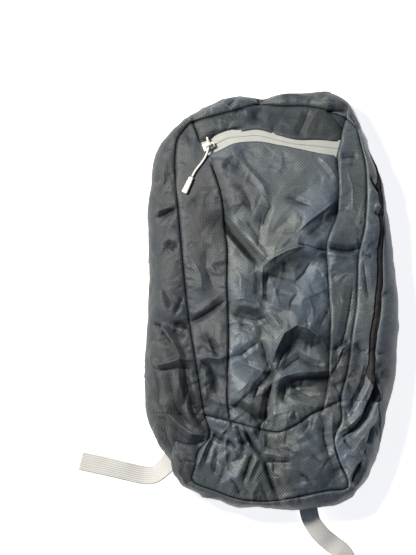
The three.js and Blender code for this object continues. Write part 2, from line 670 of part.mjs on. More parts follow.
const buckleLength = 3 * BUCKLE_BAR + 2 * BUCKLE_SLOT;
const buckleWidth = WEBBING_WIDTH + 2 * CLEARANCE + 2 * BUCKLE_RAIL;
const LOOP_REACH = 9;

// The buckle's middle, beyond the strap's foot by the length of the loop that holds it
function buckleMiddle(side) {
  const { foot, onward } = strapFoot(side);
  return foot.clone().addScaledVector(onward, LOOP_REACH + BUCKLE_BAR + BUCKLE_SLOT + BUCKLE_BAR / 2);
}

function buckle(side) {
  const { onward } = strapFoot(side);
  let plate = toManifold(new THREE.BoxGeometry(buckleLength, buckleWidth, barHeight));
  for (const hand of [-1, 1]) {
    const slot = new THREE.BoxGeometry(BUCKLE_SLOT, buckleWidth - 2 * BUCKLE_RAIL, 2 * barHeight);
    slot.translate((hand * (BUCKLE_BAR + BUCKLE_SLOT)) / 2, 0, 0);
    plate = plate.subtract(toManifold(slot));
  }
  const { x, y } = buckleMiddle(side);
  const geometry = fromManifold(plate).rotateZ(Math.atan2(onward.y, onward.x));
  return geometry.translate(x, y, barLow + barHeight / 2);
}

const degrees = (direction) => THREE.MathUtils.radToDeg(Math.atan2(direction.y, direction.x));

// The loop that ties the buckle's upper bar to the strap's foot
function buckleLoop(side) {
  const { foot, onward } = strapFoot(side);
  const upperBar = buckleMiddle(side).addScaledVector(onward, -(BUCKLE_BAR + BUCKLE_SLOT));
  const across = degrees(onward) + 90;
  const start = foot.clone().addScaledVector(onward, CLEARANCE);
  const turn = turnAbout(upperBar, onward, across);
  return ribbon(
    [
      { middle: start.clone().setZ(lowRun), side: across },
      ...turn,
      { middle: start.clone().setZ(highRun), side: across },
    ],
    WEBBING_WIDTH,
  );
}

// The two tails' places after they leave the buckle, as shares, with heights as shares of the width
const TAIL_LEFT = [
  { x: -0.56, y: -0.6, lift: 0.12, side: 152, roll: 0 },
  { x: -0.72, y: -0.68, lift: 0.12, side: 152, roll: 6 },
  { x: -0.81, y: -0.76, lift: 0.12, side: 140, roll: 8 },
  { x: -0.88, y: -0.81, lift: 0.24, side: 125, roll: 24 },
  { x: -0.95, y: -0.838, lift: 0.2, side: 103, roll: 20 },
  { x: -1.04, y: -0.838, lift: 0.07, side: 88, roll: 4 },
  { x: -1.18, y: -0.82, lift: 0.1, side: 84, roll: -4 },
  { x: -1.34, y: -0.797, lift: 0.06, side: 76, roll: 2 },
  { x: -1.545, y: -0.771, lift: 0.05, side: 77, roll: 0 },
];
const TAIL_RIGHT = [
  { x: 0.27, y: -0.6, lift: 0.1, side: 5, roll: 0 },
  { x: 0.28, y: -0.78, lift: 0.08, side: 8, roll: 0 },
  { x: 0.29, y: -0.94, lift: 0.08, side: 8, roll: 0 },
  { x: 0.295, y: -1.01, lift: 0.12, side: 10, roll: 6 },
  { x: 0.325, y: -1.07, lift: 0.28, side: 25, roll: 26 },
  { x: 0.395, y: -1.127, lift: 0.2, side: 48, roll: 14 },
  { x: 0.485, y: -1.172, lift: 0.07, side: 53, roll: 2 },
  { x: 0.56, y: -1.207, lift: 0.14, side: 46, roll: -6 },
  { x: 0.612, y: -1.26, lift: 0.1, side: 28, roll: -2 },
  { x: 0.632, y: -1.3, lift: 0.06, side: 22, roll: 0 },
];

// Where each lower webbing is sewn to its tab at the back seam
const TAB_PLACES = { "-1": { x: -0.93, y: -0.555 }, 1: { x: 0.84, y: -0.6 } };
const TAB_REACH = 12;
const TAB_HALF_WIDTH = 13;
const TAB_DEPTH = 22;
const tabHeight = STRAP_HEIGHT - CLOTH;

// From the tab to the buckle, round its lower bar, and on as the loose tail
function webbing(side) {
  const { onward } = strapFoot(side);
  const lowerBar = buckleMiddle(side).addScaledVector(onward, BUCKLE_BAR + BUCKLE_SLOT);
  const tab = inPlan(TAB_PLACES[side]);
  const across = degrees(onward) + 90;
  const approach = lowerBar.clone().addScaledVector(onward, BUCKLE_BAR * 2.5);
  const tabAcross = degrees(approach.clone().sub(tab)) - 90;
  const nearest = (angle, to) => angle + 180 * Math.round((to - angle) / 180);
  const half = tab.clone().lerp(approach, 0.55);
  const tail = side < 0 ? TAIL_LEFT : TAIL_RIGHT;
  const turn = turnAbout(lowerBar, onward.clone().negate(), across);
  const looseEnd = [];
  let edge = across;
  for (const { x, y, lift, side: heading, roll } of tail) {
    edge = nearest(heading, edge);
    looseEnd.push({ middle: inPlan({ x, y }).setZ(lowRun + lift * WEBBING_WIDTH), side: edge, roll });
  }
  return ribbon(
    [
      { middle: tab.clone().setZ(tabHeight - CLEARANCE - lowRun), side: nearest(tabAcross, across) },
      { middle: half.setZ(lowRun), side: nearest(tabAcross, across) },
      { middle: approach.setZ(lowRun), side: across },
      ...turn,
      { middle: approach.clone().addScaledVector(onward, -BUCKLE_BAR).setZ(highRun), side: across },
      ...looseEnd,
    ],
    WEBBING_WIDTH,
  );
}

function strapTab(side) {
  const tab = inPlan(TAB_PLACES[side]);
  const shape = new THREE.Shape();
  shape.moveTo(-side * TAB_DEPTH, -TAB_HALF_WIDTH);
  shape.lineTo(0, -TAB_HALF_WIDTH);
  shape.quadraticCurveTo(side * TAB_REACH, 0, 0, TAB_HALF_WIDTH);
  shape.lineTo(-side * TAB_DEPTH, TAB_HALF_WIDTH);
  return slab(shape, tabHeight, CLOTH).translate(tab.x, tab.y, 0);
}

// The carrying loop at the top of the back
const HANDLE_LINE = [
  { x: -0.34, y: 0.9 },
  { x: -0.26, y: 0.935 },
  { x: -0.13, y: 0.955 },
  { x: 0, y: 0.96 },
  { x: 0.13, y: 0.955 },
  { x: 0.26, y: 0.935 },
  { x: 0.34, y: 0.9 },
];

function handle() {
  const places = HANDLE_LINE.map(inPlan);
  return ribbon(
    places.map((middle, i) => {
      const before = places[Math.max(i - 1, 0)];
      const after = places[Math.min(i + 1, places.length - 1)];
      return { middle: middle.clone().setZ(highRun), side: degrees(after.clone().sub(before)) + 90 };
    }),
    HANDLE_WIDTH,
  );
}

// Turns and moves a geometry made about the origin to a place on the bag. Its X runs along the
// given direction and its Z along the outward one.
function placed(geometry, origin, along, outward) {
  const z = outward.clone().normalize();
  const x = along.clone().addScaledVector(z, -along.dot(z)).normalize();
  const y = z.clone().cross(x);
  return geometry.applyMatrix4(new THREE.Matrix4().makeBasis(x, y, z).setPosition(origin));
}

function surfaceNormal(x, y) {
  const step = 2;
  const eastward = frontPoint(x + step, y).outer.sub(frontPoint(x - step, y).outer);
  const northward = frontPoint(x, y + step).outer.sub(frontPoint(x, y - step).outer);
  return eastward.cross(northward).normalize();
}

// Where a stiff piece seats on the cloth, clear of it all over its footprint
function seatOn(x, y, along, length, width) {
  const normal = surfaceNormal(x, y);
  const centre = frontPoint(x, y).outer;
  const across = normal.clone().cross(along).normalize();
  let rise = 0;
  for (const u of [-0.5, -0.25, 0, 0.25, 0.5]) {
    for (const v of [-0.5, 0, 0.5]) {
      const at = centre.clone().addScaledVector(along, u * length).addScaledVector(across, v * width);
      rise = Math.max(rise, frontPoint(at.x, at.y).outer.sub(centre).dot(normal));
    }
  }
  return { origin: centre.addScaledVector(normal, rise + CLEARANCE), normal };
}

// The pocket's slider near the left end of its zip, with a bail on top for the cord
const SLIDER_SHARE = 0.04;
const SLIDER_NECK = 0.62;

function toManifold(geometry) {
  const bare = new THREE.BufferGeometry().setAttribute("position", geometry.getAttribute("position"));
  bare.setIndex(geometry.getIndex());
  const merged = mergeVertices(bare, 1e-4);
  return new wasm.Manifold(
    new wasm.Mesh({
      numProp: 3,
      vertProperties: new Float32Array(merged.getAttribute("position").array),
      triVerts: new Uint32Array(merged.getIndex().array),
    }),
  );
}

function fromManifold(solid) {
  const mesh = solid.getMesh();
  const geometry = new THREE.BufferGeometry();
  geometry.setAttribute("position", new THREE.BufferAttribute(new Float32Array(mesh.vertProperties), 3));
  geometry.setIndex(new THREE.BufferAttribute(new Uint32Array(mesh.triVerts), 1));
  geometry.computeVertexNormals();
  return geometry;
}

function sliderBody(length, width, height) {
  const shape = new THREE.Shape();
  const neck = (width * SLIDER_NECK) / 2;
  shape.moveTo(-length / 2, -width / 2);
  shape.quadraticCurveTo(0, -width / 2, length / 2, -neck);
  shape.lineTo(length / 2, neck);
  shape.quadraticCurveTo(0, width / 2, -length / 2, width / 2);
  return slab(shape, 0, height);
}

const bailLength = PULL_CORD_DIAMETER + 4 * CLEARANCE + 2 * BAIL_WALL + 1;

function bail() {
  const outside = new THREE.Shape();
  outside.moveTo(-bailLength / 2, -SLIDER_HEIGHT / 2);
  outside.lineTo(bailLength / 2, -SLIDER_HEIGHT / 2);
  outside.lineTo(bailLength / 2, BAIL_HEIGHT - BAIL_WALL);
  outside.lineTo(bailLength / 2 - BAIL_WALL, BAIL_HEIGHT);
  outside.lineTo(BAIL_WALL - bailLength / 2, BAIL_HEIGHT);
  outside.lineTo(-bailLength / 2, BAIL_HEIGHT - BAIL_WALL);
  const eye = new THREE.Path();
  const eyeHalf = bailLength / 2 - BAIL_WALL;
  eye.moveTo(-eyeHalf, CLEARANCE / 2);
  eye.lineTo(-eyeHalf, BAIL_HEIGHT - BAIL_WALL);
  eye.lineTo(eyeHalf, BAIL_HEIGHT - BAIL_WALL);
  eye.lineTo(eyeHalf, CLEARANCE / 2);
  outside.holes.push(eye);
  const geometry = new THREE.ExtrudeGeometry(outside, { depth: BAIL_WIDTH, bevelEnabled: false });
  geometry.translate(0, 0, -BAIL_WIDTH / 2);
  return geometry.rotateX(Math.PI / 2).translate(0, 0, SLIDER_HEIGHT);
}

const zipLine = new THREE.CatmullRomCurve3(zipMiddle, false, "centripetal");

function pocketSlider() {
  const middle = zipLine.getPointAt(SLIDER_SHARE);
  const along = zipLine.getTangentAt(SLIDER_SHARE);
  const { origin, normal } = seatOn(middle.x, middle.y, along, SLIDER_LENGTH, SLIDER_WIDTH);
  const body = toManifold(sliderBody(SLIDER_LENGTH, SLIDER_WIDTH, SLIDER_HEIGHT));
  const whole = body.add(toManifold(bail()));
  return placed(fromManifold(whole), origin, along, normal);
}

// The pull cord's middle line, from its end above the slider, through the bail, to the grip
const PULL_CORD_ROUTE = [
  [-70.6, 175.6, 48.9],
  [-70.2, 173.6, 50.2],
  [-69.8, 171.6, 51.7],
  [-69.5, 169.6, 52.6],
  [-69.2, 167.6, 53.2],
  [-69.1, 165.6, 53.7],
  [-69.2, 163.6, 54.1],
  [-69.5, 161.4, 54.4],
  [-70.1, 159, 54.2],
  [-71.1, 156.3, 53.6],
  [-72.4, 153.5, 53.1],
  [-74, 150.8, 53],
  [-75.9, 147.9, 53.1],
  [-78, 145.1, 53.2],
  [-80.2, 142.3, 53.3],
  [-82.3, 139.5, 53.4],
  [-84.2, 136.6, 53.5],
  [-85.6, 133.9, 53.6],
  [-86.7, 131.6, 53.8],
];
const CORD_SIDES = 8;

function pullCord() {
  const route = new THREE.CatmullRomCurve3(PULL_CORD_ROUTE.map((p) => new THREE.Vector3(...p)));
  const section = new THREE.Shape(
    Array.from({ length: CORD_SIDES }, (_, i) => {
      const angle = (2 * Math.PI * i) / CORD_SIDES;
      return new THREE.Vector2(Math.cos(angle), Math.sin(angle)).multiplyScalar(PULL_CORD_DIAMETER / 2);
    }),
  );
  return new THREE.ExtrudeGeometry(section, {
    steps: 2 * PULL_CORD_ROUTE.length,
    bevelEnabled: false,
    extrudePath: route,
  });
}

// The moulded grip at the cord's end
const GRIP_PLACE = { x: -0.674, y: 0.544 };
const GRIP_HEADING = 245;

function pullGrip() {
  const middle = inPlan(GRIP_PLACE);
  const heading = THREE.MathUtils.degToRad(GRIP_HEADING);
  const along = new THREE.Vector3(Math.cos(heading), Math.sin(heading), 0);
  const { origin, normal } = seatOn(middle.x, middle.y, along, GRIP_LENGTH, GRIP_FOOT_WIDTH);
  const soft = 0.8;
  const shape = new THREE.Shape();
  shape.moveTo(soft - GRIP_LENGTH / 2, soft - GRIP_TOP_WIDTH / 2);
  shape.lineTo(GRIP_LENGTH / 2 - soft, soft - GRIP_FOOT_WIDTH / 2);
  shape.lineTo(GRIP_LENGTH / 2 - soft, GRIP_FOOT_WIDTH / 2 - soft);
  shape.lineTo(soft - GRIP_LENGTH / 2, GRIP_TOP_WIDTH / 2 - soft);
  const geometry = new THREE.ExtrudeGeometry(shape, {
    depth: GRIP_HEIGHT - 2 * soft,
    bevelSize: soft,
    bevelThickness: soft,
    bevelSegments: 2,
  });
  return placed(geometry.translate(0, 0, soft), origin, along, normal);
}

// The main zip's slider, out of sight under the left side of the rim
const MAIN_SLIDER_PLACE = 36.5;

function mainSlider() {
  const place = MAIN_SLIDER_PLACE;
  const angle = between("zip", place);
  const { outer, inward } = gussetPoint(place, angle);
  const along = gussetPoint(place + 0.05, angle).outer.sub(gussetPoint(place - 0.05, angle).outer);
  const outward = inward.clone().negate();
  const body = sliderBody(MAIN_SLIDER_LENGTH, MAIN_SLIDER_WIDTH, MAIN_SLIDER_HEIGHT);
  return placed(body, outer.addScaledVector(outward, CLEARANCE), along, outward);
}

const finishes = {
  nylon: { color: 0x62676a, roughness: 0.55, metalness: 0 },
  zipTape: { color: 0xcfccc2, roughness: 0.8, metalness: 0 },
  zipCoil: { color: 0xb9ab86, roughness: 0.45, metalness: 0 },
  darkZip: { color: 0x1d1c1e, roughness: 0.75, metalness: 0 },
  sliderPaint: { color: 0xd8d6cf, roughness: 0.35, metalness: 0.6 },
  cord: { color: 0xe4e1da, roughness: 0.8, metalness: 0 },
  grip: { color: 0xe2dcd7, roughness: 0.5, metalness: 0 },
  webbing: { color: 0xddd9d2, roughness: 0.85, metalness: 0 },
  strapMesh: { color: 0x4c5052, roughness: 0.9, metalness: 0 },
  buckle: { color: 0x2c2d2f, roughness: 0.4, metalness: 0 },
};

const backpack = new THREE.Group();

function addPiece(name, geometry, finish) {
  const mesh = new THREE.Mesh(geometry, new THREE.MeshStandardMaterial(finishes[finish]));
  mesh.name = name;
  backpack.add(mesh);
}

addPiece("yoke_panel", yoke(), "nylon");
addPiece("pocket_panel", pocketPanel(), "nylon");
addPiece("side_panel_left", sidePanelLeft(), "nylon");
addPiece("side_panel_right", sidePanelRight(), "nylon");
addPiece("lower_panel", lowerPanel(), "nylon");
addPiece("base_strip", base(), "nylon");
addPiece("back_panel", backPanel(), "nylon");
const gussetParts = {
  top: topPlaces,
  upper_right: rightPlaces,
  lower_right: lowerRightPlaces,
  upper_left: leftPlaces,
  lower_left: lowerLeftPlaces,
};
for (const [part, places] of Object.entries(gussetParts)) {
  addPiece(`gusset_front_${part}`, gussetFront(places), "nylon");
  addPiece(`gusset_back_${part}`, gussetBack(places), "nylon");
}
addPiece("main_zip", mainZip(), "darkZip");
addPiece("main_zip_slider", mainSlider(), "buckle");
addPiece("pocket_zip_tape_upper", zipTape(zipUpper, zipMiddle), "zipTape");
addPiece("pocket_zip_tape_lower", zipTape(zipMiddle, zipLower), "zipTape");
addPiece("pocket_zip_coil", zipCoil(), "zipCoil");
addPiece("pocket_zip_slider", pocketSlider(), "sliderPaint");
addPiece("pull_cord", pullCord(), "cord");
addPiece("pull_grip", pullGrip(), "grip");
for (const [name, side] of [["left", -1], ["right", 1]]) {
  addPiece(`shoulder_strap_${name}`, slab(strapShape(side), 0, STRAP_HEIGHT), "strapMesh");
  addPiece(`buckle_loop_${name}`, buckleLoop(side), "webbing");
  addPiece(`ladder_buckle_${name}`, buckle(side), "buckle");
  addPiece(`webbing_${name}`, webbing(side), "webbing");
  addPiece(`strap_tab_${name}`, strapTab(side), "nylon");
}
addPiece("carry_handle", handle(), "webbing");

// Puts the middle of the footprint at the origin. The cord and its grip don't count in it.
const loose = ["pull_cord", "pull_grip"];
const footprint = new THREE.Box3();
for (const mesh of backpack.children.filter(({ name }) => !loose.includes(name))) {
  footprint.expandByObject(mesh);
}
const middle = footprint.getCenter(new THREE.Vector3());
backpack.position.set(-middle.x, -middle.y, 0);

export default backpack;
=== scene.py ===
import math
import random

import bmesh
import bpy
import numpy as np
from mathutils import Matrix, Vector
from mathutils.geometry import delaunay_2d_cdt


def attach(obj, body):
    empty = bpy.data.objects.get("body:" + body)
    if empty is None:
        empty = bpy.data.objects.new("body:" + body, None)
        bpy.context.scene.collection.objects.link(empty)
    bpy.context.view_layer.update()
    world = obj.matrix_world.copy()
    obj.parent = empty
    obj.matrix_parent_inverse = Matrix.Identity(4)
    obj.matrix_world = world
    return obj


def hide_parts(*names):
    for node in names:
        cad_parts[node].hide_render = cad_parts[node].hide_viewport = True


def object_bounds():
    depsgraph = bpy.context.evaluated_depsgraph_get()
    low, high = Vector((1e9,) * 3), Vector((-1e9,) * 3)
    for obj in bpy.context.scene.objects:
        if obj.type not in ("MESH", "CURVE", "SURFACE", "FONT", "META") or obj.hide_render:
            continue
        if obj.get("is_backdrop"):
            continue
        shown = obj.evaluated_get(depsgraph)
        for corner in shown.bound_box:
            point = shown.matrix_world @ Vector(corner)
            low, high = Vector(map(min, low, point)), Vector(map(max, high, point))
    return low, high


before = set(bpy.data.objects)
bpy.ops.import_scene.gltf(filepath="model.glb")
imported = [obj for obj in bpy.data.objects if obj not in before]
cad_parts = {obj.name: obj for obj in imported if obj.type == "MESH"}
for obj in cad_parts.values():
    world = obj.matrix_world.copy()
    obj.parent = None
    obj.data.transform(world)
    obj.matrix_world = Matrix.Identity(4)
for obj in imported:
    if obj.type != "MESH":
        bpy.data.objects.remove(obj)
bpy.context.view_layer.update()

# The view
# The bag lies on its back on a white table and is photographed from almost straight above.
# Its middle is taken as the origin of all the plans below; the frame's own origin lies a
# little lower and to the left, because the loose webbing counts in the frame's footprint.
BAG_TO_FRAME = np.array([38.06, 35.07, 0.0])
MM = 0.001


def in_frame(points):
    """Points of the bag's plan in millimetres, moved to the frame in metres."""
    return (np.asarray(points, float) + BAG_TO_FRAME) * MM


LOOKED_AT = in_frame([-69.6, 24.5, 30.0])
CAMERA_AWAY = 3.0
CAMERA_ELEVATION = math.radians(84.5)
PICTURE_HEIGHT = 0.603

camera_data = bpy.data.cameras.new("camera")
camera = bpy.data.objects.new("camera", camera_data)
bpy.context.scene.collection.objects.link(camera)
away = Vector((0.0, -math.cos(CAMERA_ELEVATION), math.sin(CAMERA_ELEVATION))) * CAMERA_AWAY
camera.location = Vector(LOOKED_AT) + away
camera.rotation_euler = (-away).to_track_quat("-Z", "Y").to_euler()
camera_data.sensor_fit = "VERTICAL"
camera_data.sensor_height = 36.0
camera_data.lens = 36.0 * CAMERA_AWAY / PICTURE_HEIGHT
bpy.context.scene.camera = camera
bpy.context.scene.view_settings.view_transform = "Standard"

# The light
# One large soft window to the upper left, as the grip's shadow shows, and a pale room round it.
WINDOW_FROM = Vector((-0.84, 0.5, 1.15))
WINDOW_POWER = 37.5
ROOM_LIGHT = 0.17


def hex_colour(text, alpha=1.0):
    """A colour written in sRGB hex, turned linear as Blender wants it."""
    values = [int(text[i : i + 2], 16) / 255 for i in (0, 2, 4)]
    linear = [v / 12.92 if v <= 0.04045 else ((v + 0.055) / 1.055) ** 2.4 for v in values]
    return (*linear, alpha)


window_data = bpy.data.lights.new("window", "AREA")
window_data.shape = "SQUARE"
window_data.size = 0.3
window_data.energy = WINDOW_POWER
window_data.color = hex_colour("fffbf2")[:3]
window = bpy.data.objects.new("window", window_data)
window.location = Vector(LOOKED_AT) + WINDOW_FROM
window.rotation_euler = (-WINDOW_FROM).to_track_quat("-Z", "Y").to_euler()
bpy.context.scene.collection.objects.link(window)

room = bpy.data.worlds.new("room")
room.use_nodes = True
room.node_tree.nodes["Background"].inputs["Color"].default_value = hex_colour("c6d7fa")
room.node_tree.nodes["Background"].inputs["Strength"].default_value = ROOM_LIGHT
bpy.context.scene.world = room

# The table
# A plain white sheet of board far larger than the bag, a little brighter than paper would be
# under this light, as it is in the picture.
TABLE_REACH = 4.0
TABLE_DROP = 0.4 * MM


def add_node(owner, kind, settings=None, **inputs):
    """Adds a node to a material or a tree. Its inputs are values, sockets or nodes with one result."""
    tree = getattr(owner, "node_tree", owner)
    node = tree.nodes.new(kind)
    for name, value in (settings or {}).items():
        setattr(node, name, value)
    for name, value in inputs.items():
        key = int(name[1:]) if name[0] == "_" and name[1:].isdigit() else name.replace("_", " ")
        value = value.outputs[0] if isinstance(value, bpy.types.Node) else value
        if isinstance(value, bpy.types.NodeSocket):
            tree.links.new(value, node.inputs[key])
        else:
            node.inputs[key].default_value = value
    return node


def new_material(name, **surface):
    """A material with a bare Principled shader, whose uniform values go on its own sockets."""
    material = bpy.data.materials.new(name)
    material.use_nodes = True
    shader = material.node_tree.nodes["Principled BSDF"]
    for key, value in surface.items():
        shader.inputs[key.replace("_", " ")].default_value = value
    return material, shader


def wire(material, source, target):
    """Links one socket of a material to another."""
    material.node_tree.links.new(source, target)


def mottle(material, scale, detail):
    """The strength of a cloudy pattern that is fixed to the object."""
    place = add_node(material, "ShaderNodeTexCoord")
    cloud = add_node(
        material, "ShaderNodeTexNoise", Vector=place.outputs["Object"], Scale=scale, Detail=detail
    )
    return cloud.outputs["Fac"]


def finish(material, shader, share, low, high, relief=None, strength=0.5, height=0.3):
    """Colours a surface between two hex colours, and raises it by a pattern some millimetres high."""
    tint = add_node(
        material, "ShaderNodeMix", {"data_type": "RGBA"}, _0=share, _6=hex_colour(low), _7=hex_colour(high)
    )
    wire(material, tint.outputs[2], shader.inputs["Base Color"])
    raised(material, shader, relief, strength, height)


def raised(material, shader, relief, strength, height):
    """Raises a surface by a pattern, where there is one."""
    if relief is not None:
        bump = add_node(material, "ShaderNodeBump", Height=relief, Strength=strength, Distance=height * MM)
        wire(material, bump.outputs["Normal"], shader.inputs["Normal"])


# What a sum in a material does
TIMES = {"operation": "MULTIPLY"}
TIMES_PLUS = {"operation": "MULTIPLY_ADD"}
MINUS = {"operation": "SUBTRACT"}
TO_POWER = {"operation": "POWER"}
SINE = {"operation": "SINE"}
COSINE = {"operation": "COSINE"}


def pattern_ways(material):
    """A pattern's own coordinates on a piece, across it and along it, in metres."""
    place = add_node(material, "ShaderNodeUVMap", {"uv_map": "pattern"})
    split = add_node(material, "ShaderNodeSeparateXYZ", Vector=place.outputs["UV"])
    return split.outputs["X"], split.outputs["Y"]


def wave(material, way, pitch, kind=SINE):
    """A wave along one way of a pattern, whose crests are a pitch in metres apart."""
    turned = add_node(material, "ShaderNodeMath", TIMES, _0=way, _1=2 * math.pi / pitch)
    return add_node(material, "ShaderNodeMath", kind, _0=turned)


# White laminate: an even, nearly matt sheet with a faint mottle
white_board, board_shader = new_material("white laminate board", Roughness=0.7)
board_shader.inputs["Emission Color"].default_value = hex_colour("ffffff")
board_shader.inputs["Emission Strength"].default_value = 0.8
finish(white_board, board_shader, mottle(white_board, 9.0, 2.0), "f4f5f6", "f8f8f8")

table_mesh = bpy.data.meshes.new("table")
table_corners = [(-1, -1), (1, -1), (1, 1), (-1, 1)]
table_mesh.from_pydata(
    [(x * TABLE_REACH, y * TABLE_REACH, -TABLE_DROP) for x, y in table_corners], [], [(0, 1, 2, 3)]
)
table_mesh.materials.append(white_board)
table = bpy.data.objects.new("table", table_mesh)
bpy.context.scene.collection.objects.link(table)
table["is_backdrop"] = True

# The pull cord
# A round braided polyester cord, tied off above the slider, led through the slider's bail and
# down to the moulded grip. It lies on the cloth.
CORD_DIAMETER = 2.4
CORD_ROUTE = [
    (-70.6, 175.6, 48.9), (-70.2, 173.6, 50.2), (-69.8, 171.6, 51.7), (-69.5, 169.6, 52.6),
    (-69.2, 167.6, 53.2), (-69.1, 165.6, 53.7), (-69.2, 163.6, 54.1), (-69.5, 161.4, 54.4),
    (-70.1, 159.0, 54.2), (-71.1, 156.3, 53.6), (-72.4, 153.5, 53.1), (-74.0, 150.8, 53.0),
    (-75.9, 147.9, 53.1), (-78.0, 145.1, 53.2), (-80.2, 142.3, 53.3), (-82.3, 139.5, 53.4),
    (-84.2, 136.6, 53.5), (-85.6, 133.9, 53.6), (-86.7, 131.6, 53.8),
]
CORD_AROUND = 18


def spline(points, shares, closed=False):
    """Places on the centripetal curve through points, at shares of the way from first to last."""
    knots = np.array(points, float)
    if closed:
        knots = np.vstack([knots[-1:], knots, knots[:2]])
        spans = len(points)
    else:
        knots = np.vstack([2 * knots[0] - knots[1], knots, 2 * knots[-1] - knots[-2]])
        spans = len(points) - 1
    at = np.asarray(shares, float) * spans
    cell = np.clip(np.floor(at).astype(int), 0, spans - 1)
    share = (at - cell)[:, None]
    before, start, end, after = (knots[cell + k] for k in range(4))
    gaps = [(before, start), (start, end), (end, after)]
    a, b, c = (np.maximum(np.linalg.norm(q - p, axis=1), 1e-6)[:, None] ** 0.5 for p, q in gaps)
    leaving = ((start - before) / a - (end - before) / (a + b) + (end - start) / b) * b
    arriving = ((end - start) / b - (after - start) / (b + c) + (after - end) / c) * b
    square = -3 * start + 3 * end - 2 * leaving - arriving
    cube = 2 * start - 2 * end + leaving + arriving
    return start + share * (leaving + share * (square + share * cube))


def travelled(points):
    """How far along a line of points each one is."""
    steps = np.linalg.norm(np.diff(points, axis=0), axis=1)
    return np.concatenate([[0.0], np.cumsum(steps)])


def even(points, parts):
    """The same line as points at equal distances."""
    gone = travelled(points)
    wanted = np.linspace(0, gone[-1], parts + 1)
    return np.stack([np.interp(wanted, gone, column) for column in np.transpose(points)], axis=1)


def smooth_step(share):
    share = np.clip(share, 0, 1)
    return share * share * (3 - 2 * share)


def add_piece(name, corners, faces, material, node=None, places=None, painted_shading=None):
    """Makes a piece of frame points in metres. Places are the pattern's coordinates, one per corner."""
    mesh = bpy.data.meshes.new(name)
    mesh.from_pydata([tuple(p) for p in corners], [], faces)
    if places is not None:
        layer = mesh.uv_layers.new(name="pattern")
        turns = np.zeros(len(mesh.loops), dtype=np.int32)
        mesh.loops.foreach_get("vertex_index", turns)
        layer.data.foreach_set("uv", np.asarray(places, np.float32)[turns].ravel())
    # The painted light and shade, one value per corner, is kept on the piece for its material.
    if painted_shading is not None:
        painted_shading_values = mesh.attributes.new("painted_shading", "FLOAT", "POINT")
        painted_shading_values.data.foreach_set("value", np.asarray(painted_shading, np.float32))
    mesh.materials.append(material)
    mesh.shade_smooth()
    mesh.update()
    piece = bpy.data.objects.new(name, mesh)
    bpy.context.scene.collection.objects.link(piece)
    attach(piece, "root")
    if node:
        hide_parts(*([node] if isinstance(node, str) else node))
    return piece


def unit(vectors):
    """The same directions, each one long."""
    return vectors / np.linalg.norm(vectors, axis=-1, keepdims=True)


def loft(rings):
    """Corners and faces of a closed body through rings of points, in an array of rings by points."""
    count, around = rings.shape[:2]
    faces = []
    for r in range(count - 1):
        for c in range(around):
            d = (c + 1) % around
            faces.append((r * around + c, r * around + d, (r + 1) * around + d, (r + 1) * around + c))
    faces.append(tuple(range(around))[::-1])
    faces.append(tuple((count - 1) * around + c for c in range(around)))
    return rings.reshape(-1, 3), faces


def tube(middles, radii, around):
    """A round bar with closed ends along middles: its corners, faces and pattern coordinates."""
    middles = np.asarray(middles, float)
    onward = unit(np.gradient(middles, axis=0))
    side = np.cross(onward, [0.0, 0.0, 1.0])
    side /= np.linalg.norm(side, axis=1)[:, None]
    up = np.cross(side, onward)
    angles = np.linspace(0, 2 * math.pi, around, endpoint=False)
    ring = side[:, None] * np.cos(angles)[:, None] + up[:, None] * np.sin(angles)[:, None]
    gone = np.repeat(travelled(middles), around)
    turned = np.tile(angles / (2 * math.pi), len(middles))
    corners, faces = loft(middles[:, None] + ring * np.asarray(radii)[:, None, None])
    return corners, faces, np.stack([turned, gone], axis=1)


def facing_out(piece):
    """Turns the faces of a closed piece outwards."""
    work = bmesh.new()
    work.from_mesh(piece.data)
    bmesh.ops.recalc_face_normals(work, faces=work.faces)
    work.to_mesh(piece.data)
    work.free()


# Polyester braid: matt white yarn in crossing strands, its colour a little darker in the valleys.
# Real strands are 0.5 mm; they are drawn 0.8 mm wide.
white_braid, braid_shader = new_material("polyester braid", Roughness=0.75, Sheen_Weight=0.2)
braid_place = add_node(white_braid, "ShaderNodeUVMap", {"uv_map": "pattern"})
braid_map = add_node(
    white_braid, "ShaderNodeMapping", Vector=braid_place.outputs["UV"], Scale=(4.0, 620.0, 1.0)
)
braid_split = add_node(white_braid, "ShaderNodeSeparateXYZ", Vector=braid_map.outputs["Vector"])
strand_waves = []
for direction in ("ADD", "SUBTRACT"):
    slant = add_node(
        white_braid,
        "ShaderNodeMath",
        {"operation": direction},
        _0=braid_split.outputs["X"],
        _1=braid_split.outputs["Y"],
    )
    turned = add_node(white_braid, "ShaderNodeMath", TIMES, _0=slant, _1=2 * math.pi)
    strand_waves.append(add_node(white_braid, "ShaderNodeMath", SINE, _0=turned))
braid_cross = add_node(white_braid, "ShaderNodeMath", TIMES, _0=strand_waves[0], _1=strand_waves[1])
finish(white_braid, braid_shader, braid_cross, "e3dfd6", "f2efe9", relief=braid_cross)

cord_line = even(spline(CORD_ROUTE, np.linspace(0, 1, 400)), 64)
cord_radii = np.full(len(cord_line), CORD_DIAMETER / 2)
cord_radii[0] = cord_radii[-1] = 0.55 * CORD_DIAMETER / 2
corners, faces, places = tube(in_frame(cord_line), cord_radii * MM, CORD_AROUND)
pull_cord = add_piece("pull_cord_braid", corners, faces, white_braid, "pull_cord", places)
facing_out(pull_cord)

# The grip
# A soft moulded bar over the cord's end, wider at its foot, with a collar where the cord goes in
# and three finger ribs. It is pinkish white, and stained at the foot.
GRIP_SEAT = np.array([-91.04, 122.42, 52.04])
GRIP_NORMAL = np.array([-0.163, 0.0762, 0.9837])
GRIP_HEADING = math.radians(245)
GRIP_LENGTH = 19.0
GRIP_TOP_WIDTH = 5.0
GRIP_FOOT_WIDTH = 6.6
GRIP_HEIGHT = 4.0
GRIP_RINGS = 60
GRIP_AROUND = 36
GRIP_GIRTH = 0.016


